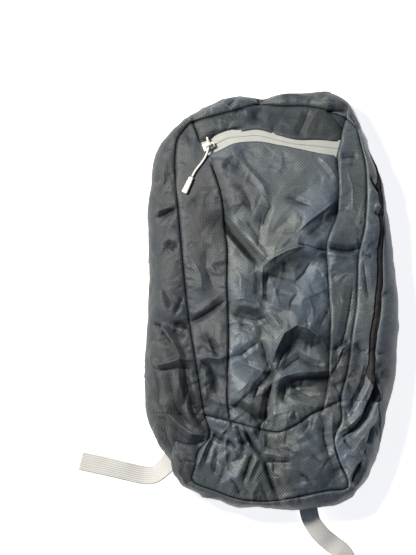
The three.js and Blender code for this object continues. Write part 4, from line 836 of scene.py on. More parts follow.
# Painted shade and light: patches where the colour is darkened as painted shade, on the facets and
# creases that lie deepest between the folds, and lightened as painted light where the depth is
# negative: line, widths and depth.
PAINTED_SHADE_PATCHES = [
    ([(-50, 80), (-43, 67), (-32, 53), (-14, 35)], 2.5, 4.5, 6.5),
    ([(37, 62), (50, 73), (66, 93)], 7, 7, 2.8),
    ([(0, 35), (17, 33), (33, 39)], 6, 6, 2.6),
    ([(-42, -13), (-27, -14), (-11, -20)], 6, 5, 4),
    ([(7, -72), (13, -50), (27, -40), (42, -45), (52, -57)], 7, 8, 3),
    ([(-11, -95), (-2, -85), (5, -72)], 4, 5, 4),
    ([(18, -89), (36, -87), (60, -87)], 3.5, 4.5, 3.2),
    ([(-39, -113), (-26, -117), (-11, -130)], 6, 4, 3.4),
    ([(-100, -74), (-91, -100), (-80, -136)], 7, 7, 2.8),
    ([(-126, -39), (-118, -47), (-111, -59)], 6, 6, 2.4),
    ([(-80, -38), (-70, -49), (-63, -61)], 6, 6, 1.4),
    ([(-104, -196), (-83, -210), (-50, -221)], 6, 6, 3),
    ([(-78, 174), (-70, 177), (-60, 182)], 3.6, 3.6, 7.5),
    ([(-60, 182), (-49, 185), (-36, 187)], 1.8, 1.8, 6),
    ([(-126, 91), (-116, 93), (-103, 98)], 3.5, 4.5, 3.6),
    ([(-123, 52), (-113, 55), (-104, 54)], 2.5, 4, 3),
    ([(75, -113), (78, -130), (85, -150)], 3, 3, 4),
    ([(91, -202), (98, -191), (104, -180)], 4, 5, 6),
    ([(18, 103), (30, 102), (40, 99)], 1.5, 2, 3),
    ([(-71, -67), (-63, -85), (-62, -104)], 2, 2.5, 4),
    ([(-87, -25), (-72, -18), (-53, -4)], 2, 1.5, 4),
    ([(-109, -29), (-100, -29), (-89, -33)], 2, 2, 4),
    ([(-12, -172), (-5, -189), (3, -211)], 2, 2, 3.5),
    ([(-22, -168), (-27, -183), (-32, -198)], 2, 2, 3.5),
    ([(-36, -139), (-25, -154), (-10, -174)], 2, 2, 3.5),
    ([(63, 53), (75, 51), (93, 54)], 1.5, 1.5, 4.5),
    ([(-11, 28), (-10, 13), (-11, -4)], 2, 2, 3.5),
    ([(-65, 152), (-54, 151), (-45, 148)], 2.5, 2.5, 3),
    ([(-55, 136), (-51, 134), (-47, 129)], 2, 2, 3.2),
    ([(-53, 107), (-49, 101), (-45, 95)], 2, 3, 3.6),
    ([(-37, 112), (-32, 103), (-26, 96)], 1.5, 1.5, 3.2),
    ([(-11, 113), (-5, 104), (-1, 96)], 1.5, 1.5, 3.2),
    ([(-54, 161), (-41, 125), (-33, 85)], 22, 22, 2.4),
    ([(58, 152), (50, 109), (46, 43), (43, -27)], 20, 20, -1.9),
    ([(84, -35), (84, -71), (80, -113)], 12, 12, 3.4),
    ([(-85, 147), (-80, 98), (-74, 35)], 17, 17, 1.5),
    ([(50, -30), (52, -67), (48, -111)], 18, 18, 2.2),
    ([(-37, -33), (-32, -71), (-28, -111)], 15, 15, -1.6),
    ([(-73, -141), (-52, -163), (-33, -196)], 20, 20, -1.1),
    ([(41, -135), (59, -161), (76, -193)], 20, 20, -1.9),
]
PAINTED_SHADE_STRENGTH = 0.23
MAP_CELL = 0.5
MAP_X = 180.0
MAP_Y = 270.0
map_columns = np.arange(-MAP_X, MAP_X + MAP_CELL, MAP_CELL)
map_rows = np.arange(-MAP_Y, MAP_Y + MAP_CELL, MAP_CELL)
rise_map = np.zeros((len(map_rows), len(map_columns)))


def map_window(low, high):
    """The part of the map between two plan points, and its cells' places."""
    c0, c1 = np.searchsorted(map_columns, [low[0], high[0]])
    r0, r1 = np.searchsorted(map_rows, [low[1], high[1]])
    gx, gy = np.meshgrid(map_columns[c0:c1], map_rows[r0:r1])
    return (slice(r0, r1), slice(c0, c1)), gx, gy


def press_crease(grid, line, left, right, rise, fade=0.2, profile="facets"):
    """Raises or lowers a map along a line: between flat facets, as a groove, or as a patch."""
    line = np.asarray(line, float)
    reach = 2.8 * max(left, right)
    window, gx, gy = map_window(line.min(axis=0) - reach, line.max(axis=0) + reach)
    if gx.size == 0:
        return
    nearest = np.full(gx.shape, 1e9)
    width = np.full(gx.shape, left)
    share = np.zeros(gx.shape)
    whole = travelled(line)[-1]
    gone = 0.0
    for (ax, ay), (bx, by) in zip(line[:-1], line[1:]):
        sx, sy = bx - ax, by - ay
        span = math.hypot(sx, sy)
        s = np.clip(((gx - ax) * sx + (gy - ay) * sy) / span**2, 0, 1)
        ex, ey = gx - ax - s * sx, gy - ay - s * sy
        distance = np.hypot(ex, ey)
        closer = distance < nearest
        nearest = np.where(closer, distance, nearest)
        width = np.where(closer, np.where(sx * ey - sy * ex > 0, left, right), width)
        share = np.where(closer, (gone + s * span) / whole, share)
        gone += span
    ends = np.minimum(share, 1 - share) / fade if fade else 1.0
    taper = np.minimum(1.0, 0.15 + 0.85 * ends)
    if profile == "facets":
        height = np.clip(1 - nearest / (FACET_WIDTHS * width), 0, 1)
    elif profile == "groove":
        height = np.exp(-((nearest / width) ** 1.3))
    else:
        height = np.clip(2.5 * (1 - nearest / width), 0, 1)
    grid[window] += rise * height * taper


def facet_map(spacing, rise, seed):
    """Flat facets with straight edges, as in paper that was crushed and smoothed out again."""
    chance = random.Random(seed)
    points = []
    heights = []
    for row in np.arange(-MAP_Y - spacing, MAP_Y + 2 * spacing, spacing):
        for column in np.arange(-MAP_X - spacing, MAP_X + 2 * spacing, spacing):
            jitter = (chance.uniform(-0.48, 0.48) * spacing, chance.uniform(-0.48, 0.48) * spacing)
            points.append(Vector((column + jitter[0], row + jitter[1])))
            heights.append(chance.uniform(-rise, rise))
    corners, _, triangles, _, _, _ = delaunay_2d_cdt(points, [], [], 0, 1e-6)
    found = np.zeros_like(rise_map)
    for triangle in triangles:
        (ax, ay), (bx, by), (cx, cy) = (corners[i] for i in triangle)
        low = (min(ax, bx, cx), min(ay, by, cy))
        high = (max(ax, bx, cx) + MAP_CELL, max(ay, by, cy) + MAP_CELL)
        window, gx, gy = map_window(low, high)
        area = (bx - ax) * (cy - ay) - (cx - ax) * (by - ay)
        if gx.size == 0 or abs(area) < 1e-9:
            continue
        v = ((gx - ax) * (cy - ay) - (cx - ax) * (gy - ay)) / area
        w = ((bx - ax) * (gy - ay) - (gx - ax) * (by - ay)) / area
        u = 1 - v - w
        inside = (u >= -1e-9) & (v >= -1e-9) & (w >= -1e-9)
        a, b, c = (heights[i] for i in triangle)
        found[window] = np.where(inside, u * a + v * b + w * c, found[window])
    return found


# How much of the small crumpling each part of the bag has: little at the flat side panels and
# the yoke, most below the middle of the pocket and at the bag's foot. Middle, reach and share.
CALM_PLACES = [
    ((-85, 130), (34, 90), 0.75), ((85, 120), (26, 80), 0.6), ((0, 195), (110, 16), 0.6),
    ((30, 120), (46, 50), 0.65), ((-30, 130), (40, 30), 0.4), ((-80, -60), (26, 90), 0.45),
    ((82, -20), (22, 70), 0.4), ((-145, 0), (30, 230), 0.55), ((145, 0), (30, 230), 0.55),
    ((0, 240), (130, 30), 0.5),
]
ROUGH_PLACES = [((-20, -150), (90, 60), 0.8), ((-10, -60), (50, 80), 0.4), ((-110, -90), (40, 80), 0.5)]
grid_x, grid_y = np.meshgrid(map_columns, map_rows)
crumpling = np.ones_like(rise_map)
for (mx, my), (wide, high), share in CALM_PLACES:
    crumpling *= 1 - share * np.exp(-(((grid_x - mx) / wide) ** 2) - ((grid_y - my) / high) ** 2)
for (mx, my), (wide, high), share in ROUGH_PLACES:
    crumpling *= 1 + share * np.exp(-(((grid_x - mx) / wide) ** 2) - ((grid_y - my) / high) ** 2)

FACETS = [(29.0, 2.7, 3), (15.0, 1.5, 8), (7.0, 0.25, 21)]
for spacing, rise, seed in FACETS:
    rise_map += facet_map(spacing, rise, seed) * crumpling

SMALL_CREASES = 520
chance = random.Random(17)
for _ in range(SMALL_CREASES):
    x, y = chance.uniform(-150, 150), chance.uniform(-240, 240)
    column = int((x + MAP_X) / MAP_CELL)
    row = int((y + MAP_Y) / MAP_CELL)
    strength = crumpling[row, column]
    heading = chance.uniform(0, math.pi)
    long = chance.uniform(10, 42)
    bend = chance.uniform(-0.5, 0.5)
    line = [(x, y)]
    for turn in (-bend, bend):
        x += long / 2 * math.cos(heading + turn)
        y += long / 2 * math.sin(heading + turn)
        line.append((x, y))
    sides = [chance.uniform(0.6, 1.6), chance.uniform(2.0, 6.0)]
    chance.shuffle(sides)
    left, right = sides
    rise = chance.choice((-1, 1)) * chance.uniform(0.35, 1.35) * strength
    press_crease(rise_map, line, left, right, rise, fade=0.4)

for line, left, right, rise in CREASES:
    press_crease(rise_map, line, left, right, rise * CREASE_SHARE)
    press_crease(rise_map, line, EDGE_WIDTH, EDGE_WIDTH, rise * EDGE_SHARE)

# Seams pull the cloth down in a groove. The pocket lies sunk under the edges of its neighbours,
# and the stitches gather small puckers on both sides.
top_places = seam_places(0, TOP_RIGHT, 150)
right_places = seam_places(TOP_RIGHT, ZIP_END_RIGHT, 300)
lower_right_places = seam_places(ZIP_END_RIGHT, BASE_RIGHT, 76)
base_places = seam_places(BASE_RIGHT, BASE_LEFT, 150)
lower_left_places = seam_places(BASE_LEFT, CURVE_LEFT, 76)
left_places = seam_places(CURVE_LEFT, STATION_COUNT, 300)
whole_round = np.concatenate(
    [top_places, right_places, lower_right_places, base_places, lower_left_places, left_places]
)
front_seam = on_front_seam(whole_round)
yoke_left = sewn_line(YOKE_LEFT, 24)
yoke_right = sewn_line(YOKE_RIGHT, 24)
zip_upper = sewn_line(ZIP_UPPER_EDGE, 150)
zip_lower = sewn_line(ZIP_LOWER_EDGE, 150)
pocket_left = sewn_line(POCKET_LEFT, 262)
pocket_right = sewn_line(POCKET_RIGHT, 262)
curve_left = sewn_line(CURVE_SEAM_LEFT, 58)
curve_middle = sewn_line(CURVE_SEAM_MIDDLE, 150)
curve_right = sewn_line(CURVE_SEAM_RIGHT, 58)
whole_curve = np.concatenate([curve_left, curve_middle[1:], curve_right[1:]])
left_inner = np.concatenate([yoke_left, (zip_upper[:1] + zip_lower[:1]) / 2, pocket_left])
right_inner = np.concatenate([yoke_right, (zip_upper[-1:] + zip_lower[-1:]) / 2, pocket_right])

# A seam's line, its groove's width to the left and right of it, its depth, and its puckers' rise.
GROOVES = [
    (front_seam, 1.0, 1.5, -2.0, 0.5),
    (whole_curve, 1.6, 2.2, -2.6, 0.7),
    (left_inner, 6.5, 1.1, -3.6, 0.4),
    (right_inner, 1.3, 4.0, -3.0, 0.4),
    (zip_upper, 1.2, 1.2, -1.2, 0.12),
    (zip_lower, 1.2, 1.2, -1.2, 0.12),
]
chance = random.Random(5)
for line, left, right, depth, pucker in GROOVES:
    parts = int(travelled(line)[-1] / 5)
    coarse_line = even(line, parts)
    press_crease(rise_map, coarse_line, left, right, depth, fade=0, profile="groove")
    onward = unit(np.gradient(coarse_line, axis=0))
    gone = chance.uniform(2, 6)
    while gone < parts - 1:
        here = coarse_line[int(gone)]
        heading = onward[int(gone)]
        lean = chance.uniform(-0.5, 0.5)
        for hand in (-1, 1):
            away = hand * np.array([-heading[1], heading[0]]) + lean * heading
            long = chance.uniform(5, 15)
            rise = chance.choice((-1, 1, 1)) * pucker * chance.uniform(0.6, 1.5)
            width = chance.uniform(1.0, 2.0)
            press_crease(rise_map, [here, here + away * long], width, width, rise, fade=0.5)
        gone += chance.uniform(0.9, 2.2)

# Under the pull cord, the grip and the slider the cloth lies smooth, because they rest on it.
REST_PLACES = [((-69, 165), 13.0), ((-74, 150), 10.0), ((-82, 139), 10.0), ((-91, 122), 14.0)]
resting = np.zeros_like(rise_map)
for (mx, my), reach in REST_PLACES:
    away = np.hypot(grid_x - mx, grid_y - my)
    resting = np.maximum(resting, 1 - smooth_step((away - 0.6 * reach) / (0.8 * reach)))


def broad_rise(x, y):
    """The broad folds' rise at plan places."""
    rise = np.zeros(np.shape(x))
    for ax, ay, bx, by, spread, height in BROAD_FOLDS:
        ax, bx = ax * BAG_WIDTH / 2, bx * BAG_WIDTH / 2
        ay, by = ay * BAG_LENGTH / 2, by * BAG_LENGTH / 2
        span = (bx - ax) ** 2 + (by - ay) ** 2
        share = np.clip(((x - ax) * (bx - ax) + (y - ay) * (by - ay)) / span, 0, 1)
        away = np.hypot(x - ax - share * (bx - ax), y - ay - share * (by - ay))
        rise += height * BAG_DEPTH * np.exp(-((away / (spread * BAG_WIDTH / 2)) ** 2))
    return rise


full_folds = broad_rise(grid_x, grid_y)
rise_map = (rise_map + BROAD_SHARE * full_folds) * (1 - resting) + (full_folds - 0.25) * resting
padded_map = np.pad(rise_map, 1, mode="edge")
map_height, map_width = rise_map.shape
rise_map = sum(
    padded_map[i : i + map_height, j : j + map_width] * (across * down / 16)
    for i, down in enumerate((1, 2, 1))
    for j, across in enumerate((1, 2, 1))
)


def slack(x, y):
    """The cloth's rise at plan places, read from the map."""
    column = np.clip((np.asarray(x) + MAP_X) / MAP_CELL, 0, len(map_columns) - 1.001)
    row = np.clip((np.asarray(y) + MAP_Y) / MAP_CELL, 0, len(map_rows) - 1.001)
    c, r = column.astype(int), row.astype(int)
    u, v = column - c, row - r
    lower = rise_map[r, c] * (1 - u) + rise_map[r, c + 1] * u
    upper = rise_map[r + 1, c] * (1 - u) + rise_map[r + 1, c + 1] * u
    return lower * (1 - v) + upper * v


def softened(grid, reach):
    """The map blurred over a reach in millimetres."""
    cells = int(3 * reach / MAP_CELL)
    weights = np.exp(-(((np.arange(-cells, cells + 1) * MAP_CELL) / reach) ** 2))
    weights /= weights.sum()
    for axis in (0, 1):
        edged = np.pad(grid, [(cells, cells) if axis == k else (0, 0) for k in (0, 1)], mode="edge")
        span = grid.shape[axis]
        parts = (np.take(edged, range(i, i + span), axis=axis) * w for i, w in enumerate(weights))
        grid = sum(parts)
    return grid


# Painted shade and light: the colour is darkened in the cloth's hollows and creases, where shade
# falls, and made a little paler along its ridges. Each row is a blur's reach, a share and a depth.
PAINTED_HOLLOW_SHADE = [(0.9, 0.6, 0.3), (3.0, 0.36, 1.3), (9.0, 0.16, 3.2)]
painted_light_and_shade_map = np.ones_like(rise_map)
for reach, share, depth in PAINTED_HOLLOW_SHADE:
    painted_light_and_shade_map -= share * np.clip((softened(rise_map, reach) - rise_map) / depth, -0.14, 1)
# The listed painted patches darken the colour further as painted shade, and lighten it where their depth is
# negative.
painted_patch_map = np.zeros_like(rise_map)
for line, left, right, depth in PAINTED_SHADE_PATCHES:
    press_crease(painted_patch_map, line, left, right, depth, profile="patch")
painted_light_and_shade_map = np.clip(painted_light_and_shade_map * np.exp(-PAINTED_SHADE_STRENGTH * painted_patch_map), 0.12, 1.5)


def read_map(grid, x, y):
    """A map's value at the nearest cell to each plan place."""
    column = np.clip((np.asarray(x) + MAP_X) / MAP_CELL + 0.5, 0, len(map_columns) - 1).astype(int)
    row = np.clip((np.asarray(y) + MAP_Y) / MAP_CELL + 0.5, 0, len(map_rows) - 1).astype(int)
    return grid[row, column]


# The panels of the front
# Coated ripstop nylon with a small raised lozenge all over, cut slack. Each panel is filled in
# between its seams as one sheet a millimetre thick.
CLOTH = 1.0
UPWARDS = np.array([0, 0, 1.0])
CLOTH_BLUE = "57606a"
CLOTH_GREY = "5d6364"
CLOTH_BROWN = "575a58"
LOZENGE_PITCH = 2.5


def sheet_faces(rows, columns, turned=False):
    """Faces of a closed sheet, its outer corners counted before its inner ones, and its cells."""
    count = rows * columns
    cell = (np.arange(rows - 1)[:, None] * columns + np.arange(columns - 1)).ravel()
    top = np.stack([cell, cell + 1, cell + columns + 1, cell + columns], axis=1)
    border = np.concatenate(
        [
            np.arange(columns - 1),
            (np.arange(rows - 1) + 1) * columns - 1,
            np.arange(count - 1, count - columns, -1),
            np.arange(rows - 1, 0, -1) * columns,
        ]
    )
    following = np.roll(border, -1)
    rim = np.stack([following, border, border + count, following + count], axis=1)
    faces = np.concatenate([top, top[:, ::-1] + count, rim])
    return (faces[:, ::-1] if turned else faces).tolist(), cell


def cloth_sheet(name, outer, outward, material, node, places, thickness=CLOTH, painted_shading=None):
    """A closed sheet from a grid of points on its outer face, in millimetres."""
    rows, columns = outer.shape[:2]
    across = np.gradient(outer, axis=1)
    down = np.gradient(outer, axis=0)
    normal = np.cross(across, down)
    normal /= np.maximum(np.linalg.norm(normal, axis=2), 1e-9)[..., None]
    turned = (normal * outward).sum(axis=2).mean() < 0
    normal = -normal if turned else normal
    inner = outer - normal * thickness
    inner[..., 2] = np.maximum(inner[..., 2], 0)
    corners = in_frame(np.concatenate([outer.reshape(-1, 3), inner.reshape(-1, 3)]))
    faces, _ = sheet_faces(rows, columns, turned)
    both = np.concatenate([places.reshape(-1, 2), places.reshape(-1, 2)]) * MM
    # Each corner carries the painted shade of the folds, times its panel's painted light and shade.
    painted_shading_values = np.ones(len(corners)) if painted_shading is None else np.tile(painted_shading.ravel(), 2)
    painted_shading_values = painted_shading_values * PAINTED_PANEL_LIGHT.get(name, 1.0)
    return add_piece(name, corners, faces, material, node, both, painted_shading_values)


def filled(top, base, left, right):
    """A grid of plan points between four seams."""
    u = np.linspace(0, 1, len(top))[None, :, None]
    v = np.linspace(0, 1, len(left))[:, None, None]
    grid = top[None] * (1 - v) + base[None] * v + left[:, None] * (1 - u) + right[:, None] * u
    grid -= top[0] * (1 - u) * (1 - v) + top[-1] * u * (1 - v)
    return grid - base[0] * (1 - u) * v - base[-1] * u * v


# Painted light and shade per panel: each panel's colour is made lighter or darker by a factor, for
# how the light falls on it beside its neighbours.
PAINTED_PANEL_LIGHT = {
    "yoke_cloth": 0.57, "side_cloth_left": 0.58, "side_cloth_right": 1.08, "lower_cloth": 1.04,
    "gusset_cloth_upper_left": 0.46, "gusset_cloth_lower_left": 0.5, "gusset_cloth_top": 0.8,
    "gusset_cloth_upper_right": 1.4, "gusset_under_upper_right": 1.4, "pocket_cloth": 1.2,
    "gusset_cloth_lower_right": 1.8,
}


def front_sheet(name, node, plan):
    """One of the front's panels, raised from its plan to the slack cloth's height."""
    x, y = plan[..., 0], plan[..., 1]
    outer = np.stack([x, y, crown_height(x, y) + slack(x, y)], axis=2)
    painted_shading = read_map(painted_light_and_shade_map, x, y)
    return cloth_sheet(name, outer, UPWARDS, slate_nylon, node, plan, painted_shading=painted_shading)


# Coated nylon dobby: a satin sheet with raised lozenges 2.5 mm apart, crossed by fine slanting
# ribs. Grey in the light, bluer where the coating faces away, and browner where it is rubbed.
slate_nylon, nylon_shader = new_material(
    "coated nylon dobby", Specular_IOR_Level=0.37, Sheen_Weight=0.04, Sheen_Roughness=0.4
)
nylon_shader.inputs["Sheen Tint"].default_value = hex_colour("aab4c8")
nylon_across, nylon_along = pattern_ways(slate_nylon)
warp_turn = 2 * math.pi / (LOZENGE_PITCH * MM * 1.3)
weft_turn = 2 * math.pi / (LOZENGE_PITCH * MM * 1.5)
warp_a = add_node(slate_nylon, "ShaderNodeMath", TIMES, _0=nylon_across, _1=warp_turn)
warp_b = add_node(slate_nylon, "ShaderNodeMath", TIMES, _0=nylon_along, _1=weft_turn)
lozenge_a = add_node(slate_nylon, "ShaderNodeMath", COSINE, _0=warp_a)
lozenge_b = add_node(slate_nylon, "ShaderNodeMath", COSINE, _0=warp_b)
lozenge = add_node(slate_nylon, "ShaderNodeMath", TIMES, _0=lozenge_a, _1=lozenge_b)
lozenge = add_node(slate_nylon, "ShaderNodeMath", TIMES_PLUS, _0=lozenge, _1=0.5, _2=0.5)
lozenge = add_node(slate_nylon, "ShaderNodeMath", TO_POWER, _0=lozenge, _1=3.0)
warp_slant = add_node(slate_nylon, "ShaderNodeMath", MINUS, _0=warp_a, _1=warp_b)
fine_slant = add_node(slate_nylon, "ShaderNodeMath", TIMES, _0=warp_slant, _1=2.0)
rib = add_node(slate_nylon, "ShaderNodeMath", SINE, _0=fine_slant)
relief = add_node(slate_nylon, "ShaderNodeMath", TIMES_PLUS, _0=rib, _1=0.12, _2=lozenge)
nylon_cool = add_node(
    slate_nylon, "ShaderNodeMapRange", Value=mottle(slate_nylon, 17.0, 4.0), From_Min=0.4, From_Max=0.62
).outputs["Result"]
nylon_warm = add_node(
    slate_nylon,
    "ShaderNodeMapRange",
    Value=mottle(slate_nylon, 7.3, 3.0),
    From_Min=0.56,
    From_Max=0.72,
    To_Max=0.35,
).outputs["Result"]
nylon_tint = add_node(
    slate_nylon,
    "ShaderNodeMix",
    {"data_type": "RGBA"},
    _0=nylon_cool,
    _6=hex_colour(CLOTH_BLUE),
    _7=hex_colour(CLOTH_GREY),
)
nylon_tint = add_node(
    slate_nylon,
    "ShaderNodeMix",
    {"data_type": "RGBA"},
    _0=nylon_warm,
    _6=nylon_tint.outputs[2],
    _7=hex_colour(CLOTH_BROWN),
)
# The painted light and shade kept on each piece darkens the colour in the folds, lightens it on ridges and
# per panel, and dulls the surface in the hollows.
nylon_painted_shading = add_node(slate_nylon, "ShaderNodeAttribute", {"attribute_name": "painted_shading"}).outputs["Fac"]
# The lozenges are lighter in the colour, partly as the weave's own pattern and partly as a painted glint,
# with a fine random speckle.
dots = add_node(slate_nylon, "ShaderNodeMath", TIMES_PLUS, _0=nylon_cool, _1=0.6, _2=0.36)
weave_and_painted_light = add_node(slate_nylon, "ShaderNodeMath", TIMES_PLUS, _0=lozenge, _1=dots, _2=0.56)
speck = add_node(slate_nylon, "ShaderNodeMath", MINUS, _0=mottle(slate_nylon, 420.0, 2.0), _1=0.5)
weave_and_painted_light = add_node(slate_nylon, "ShaderNodeMath", TIMES_PLUS, _0=speck, _1=0.5, _2=weave_and_painted_light)
weave_and_painted_light = add_node(slate_nylon, "ShaderNodeMath", TIMES, _0=weave_and_painted_light, _1=nylon_painted_shading)
nylon_lit = add_node(
    slate_nylon,
    "ShaderNodeVectorMath",
    {"operation": "SCALE"},
    _0=nylon_tint.outputs[2],
    Scale=weave_and_painted_light,
)
glint = add_node(slate_nylon, "ShaderNodeMath", TIMES_PLUS, _0=lozenge, _1=0.6, _2=0.16)
glint = add_node(slate_nylon, "ShaderNodeMath", TIMES, _0=glint, _1=nylon_painted_shading)
nylon_dullness = add_node(slate_nylon, "ShaderNodeMath", TIMES_PLUS, _0=glint, _1=-0.44, _2=0.58)
wire(slate_nylon, nylon_dullness.outputs[0], nylon_shader.inputs["Roughness"])
wire(slate_nylon, nylon_lit.outputs["Vector"], nylon_shader.inputs["Base Color"])
raised(slate_nylon, nylon_shader, relief, 0.55, 0.4)

zip_middle = (zip_upper + zip_lower) / 2
front_sheet("pocket_cloth", "pocket_panel", filled(zip_lower, curve_middle, pocket_left, pocket_right))
front_sheet(
    "yoke_cloth",
    "yoke_panel",
    filled(even(on_front_seam(top_places), 150), zip_upper, yoke_left, yoke_right),
)


def side_plan(outer_seam, inner_seam, foot, flipped):
    """A side panel's plan: a long wedge whose top ends just short of the yoke's corner."""
    outer_seam = even(outer_seam, 300)
    inner_seam = even(inner_seam, 300)
    outer_seam = np.vstack([outer_seam[2:3], outer_seam[3:]])
    inner_seam = np.vstack([inner_seam[2:3], inner_seam[3:]])
    ends = (inner_seam, outer_seam) if flipped else (outer_seam, inner_seam)
    apex = np.linspace(ends[0][0], ends[1][0], len(foot))
    return filled(apex, foot, *ends)


left_seam = on_front_seam(left_places)[::-1]
right_seam = on_front_seam(right_places)
front_sheet("side_cloth_left", "side_panel_left", side_plan(left_seam, left_inner, curve_left, False))
front_sheet("side_cloth_right", "side_panel_right", side_plan(right_seam, right_inner, curve_right, True))
lower_sides = [on_front_seam(lower_left_places)[::-1], on_front_seam(lower_right_places)]
base_seam = on_front_seam(base_places)[::-1]
front_sheet(
    "lower_cloth",
    "lower_panel",
    filled(even(whole_curve, 150), base_seam, even(lower_sides[0], 76), even(lower_sides[1], 76)),
)

# The gusset
# A band of the same cloth round the bag, sewn to the front all round and to the back panel under
# the rim. The main zip runs along it from the right foot over the top to the left foot.
GUSSET_EASE = 2.6
RIM_STEP = 0.0004


def round_rim(at):
    """The rim at shares of the way round the bag, and the back panel's seam inside it."""
    rim = spline(rim_knots, at, closed=True)
    ahead = spline(rim_knots, (at + RIM_STEP) % 1, closed=True)
    ahead = unit(ahead - spline(rim_knots, (at - RIM_STEP) % 1, closed=True))
    return rim, rim + np.stack([ahead[:, 1], -ahead[:, 0]], axis=1) * BACK_SEAM_INSET


def gusset_grid(places, start_angles, end_angles, columns, sink=None):
    """The slack gusset between two angles of its section: its outer points and the way outwards."""
    at = (places / STATION_COUNT) % 1
    seam = spline(seam_knots, at, closed=True)
    rim, back = round_rim(at)
    out = unit(rim - seam)
    seam_height = crown_height(seam[:, 0], seam[:, 1])[:, None]
    rim_height = (at_station(4, places) * BAG_DEPTH)[:, None]
    share = np.linspace(0, 1, columns)[None, :]
    turn = np.radians(start_angles[:, None] * (1 - share) + end_angles[:, None] * share)
    sine, cosine = np.sin(turn), np.cos(turn)
    before_rim = turn <= math.pi / 2
    s = sine[..., None]
    plan = np.where(
        before_rim[..., None],
        seam[:, None] * (1 - s) + rim[:, None] * s,
        rim[:, None] * s + back[:, None] * (1 - s),
    )
    height = np.where(
        before_rim,
        rim_height + (seam_height - rim_height) * cosine,
        rim_height + (rim_height - BACK_LIFT) * cosine,
    )
    drop = seam_height - height
    spread = np.where(before_rim[..., None], plan, rim[:, None]) + out[:, None] * 0.6 * drop[..., None]
    calm = np.clip((180 - np.degrees(turn)) / 40, 0, 1)
    rise = slack(spread[..., 0], spread[..., 1]) * calm
    rise = rise + GUSSET_EASE * sine
    if sink is not None:
        rise = rise - sink(share)
    outward = np.concatenate([out[:, None] * sine[..., None], cosine[..., None]], axis=2)
    outer = np.concatenate([plan, height[..., None]], axis=2) + outward * rise[..., None]
    outer[..., 2] = np.maximum(outer[..., 2], BACK_LIFT)
    gone = travelled(seam)[:, None] * np.ones_like(share)
    steps = np.linalg.norm(np.diff(outer, axis=1), axis=2)
    arc = np.concatenate([np.zeros((len(places), 1)), np.cumsum(steps, axis=1)], axis=1)
    # The gusset takes the map's painted shading near the front, and none towards the back.
    painted_shading = read_map(painted_light_and_shade_map, spread[..., 0], spread[..., 1]) * calm + (1 - calm)
    return outer, outward, np.stack([gone, arc], axis=2), painted_shading


def half_zip_angle(places):
    """Half the angle that the main zip takes, or that a seam takes where the zip has ended."""
    at = (places / STATION_COUNT) % 1
    seam = spline(seam_knots, at, closed=True)
    rim = spline(rim_knots, at, closed=True)
    rim_height = at_station(4, places) * BAG_DEPTH
    fallen = crown_height(seam[:, 0], seam[:, 1]) - rim_height
    quarter = np.hypot(np.linalg.norm(rim - seam, axis=1), fallen) * 1.11
    zipped = (places <= ZIP_END_RIGHT) | (places >= CURVE_LEFT)
    return np.where(zipped, MAIN_ZIP_WIDTH, 0.4) / 2 * 90 / quarter


def sloped(angle):
    return lambda places: np.full(len(places), float(angle))


def zip_edge(side):
    return lambda places: at_station(5, places) + side * half_zip_angle(places)


GUSSET_PARTS = [
    ("top", top_places),
    ("upper_right", right_places),
    ("lower_right", lower_right_places),
    ("lower_left", lower_left_places),
    ("upper_left", left_places),
]


def gusset_sheet(name, node, places, start, end, columns, material=None, sink=None):
    outer, outward, pattern, painted_shading = gusset_grid(places, start(places), end(places), columns, sink)
    return cloth_sheet(name, outer, outward, material or slate_nylon, node, pattern, painted_shading=painted_shading)


for part, places in GUSSET_PARTS:
    gusset_sheet(f"gusset_cloth_{part}", f"gusset_front_{part}", places, sloped(0), zip_edge(-1), 84)
    under = places[::2]
    under = under if under[-1] == places[-1] else np.append(under, places[-1])
    gusset_sheet(f"gusset_under_{part}", f"gusset_back_{part}", under, zip_edge(1), sloped(180), 22)
gusset_sheet("base_cloth", "base_strip", base_places, sloped(0), sloped(180), 64)

# The pocket's zip
# A 14 mm woven zip turned coil side down, so that only its flat off-white tape shows, with the
# join of its two halves down the middle. The cloth's edges stand over it on both sides.
TAPE_SINK = 2.6
TAPE_TUCK = 2.0
TAPE_THICK = 0.6
COIL_PITCH = 1.3
COIL_WIDTH = 4.0

# Woven polyester tape: a close herringbone in off-white yarn, matt, with a faint mottle. Real ribs
# are 0.6 mm apart; they are drawn 1.1 mm apart.
woven_tape, tape_shader = new_material("woven polyester tape", Roughness=0.72, Sheen_Weight=0.1)
tape_along, tape_across = pattern_ways(woven_tape)
tape_ribs = wave(woven_tape, tape_across, 0.0011)
tape_turn = 2 * math.pi / 0.0016
tape_slant = add_node(
    woven_tape, "ShaderNodeMath", TIMES_PLUS, _0=tape_along, _1=tape_turn, _2=tape_ribs
)
tape_yarn = add_node(woven_tape, "ShaderNodeMath", SINE, _0=tape_slant)
tape_fac = add_node(
    woven_tape, "ShaderNodeMath", TIMES_PLUS, _0=tape_yarn, _1=0.22, _2=mottle(woven_tape, 70.0, 4.0)
)
tape_relief = add_node(woven_tape, "ShaderNodeMath", TIMES_PLUS, _0=tape_ribs, _1=0.7, _2=tape_yarn)
finish(woven_tape, tape_shader, tape_fac, "a8aaa4", "bfc1ba", tape_relief, 0.4, 0.25)


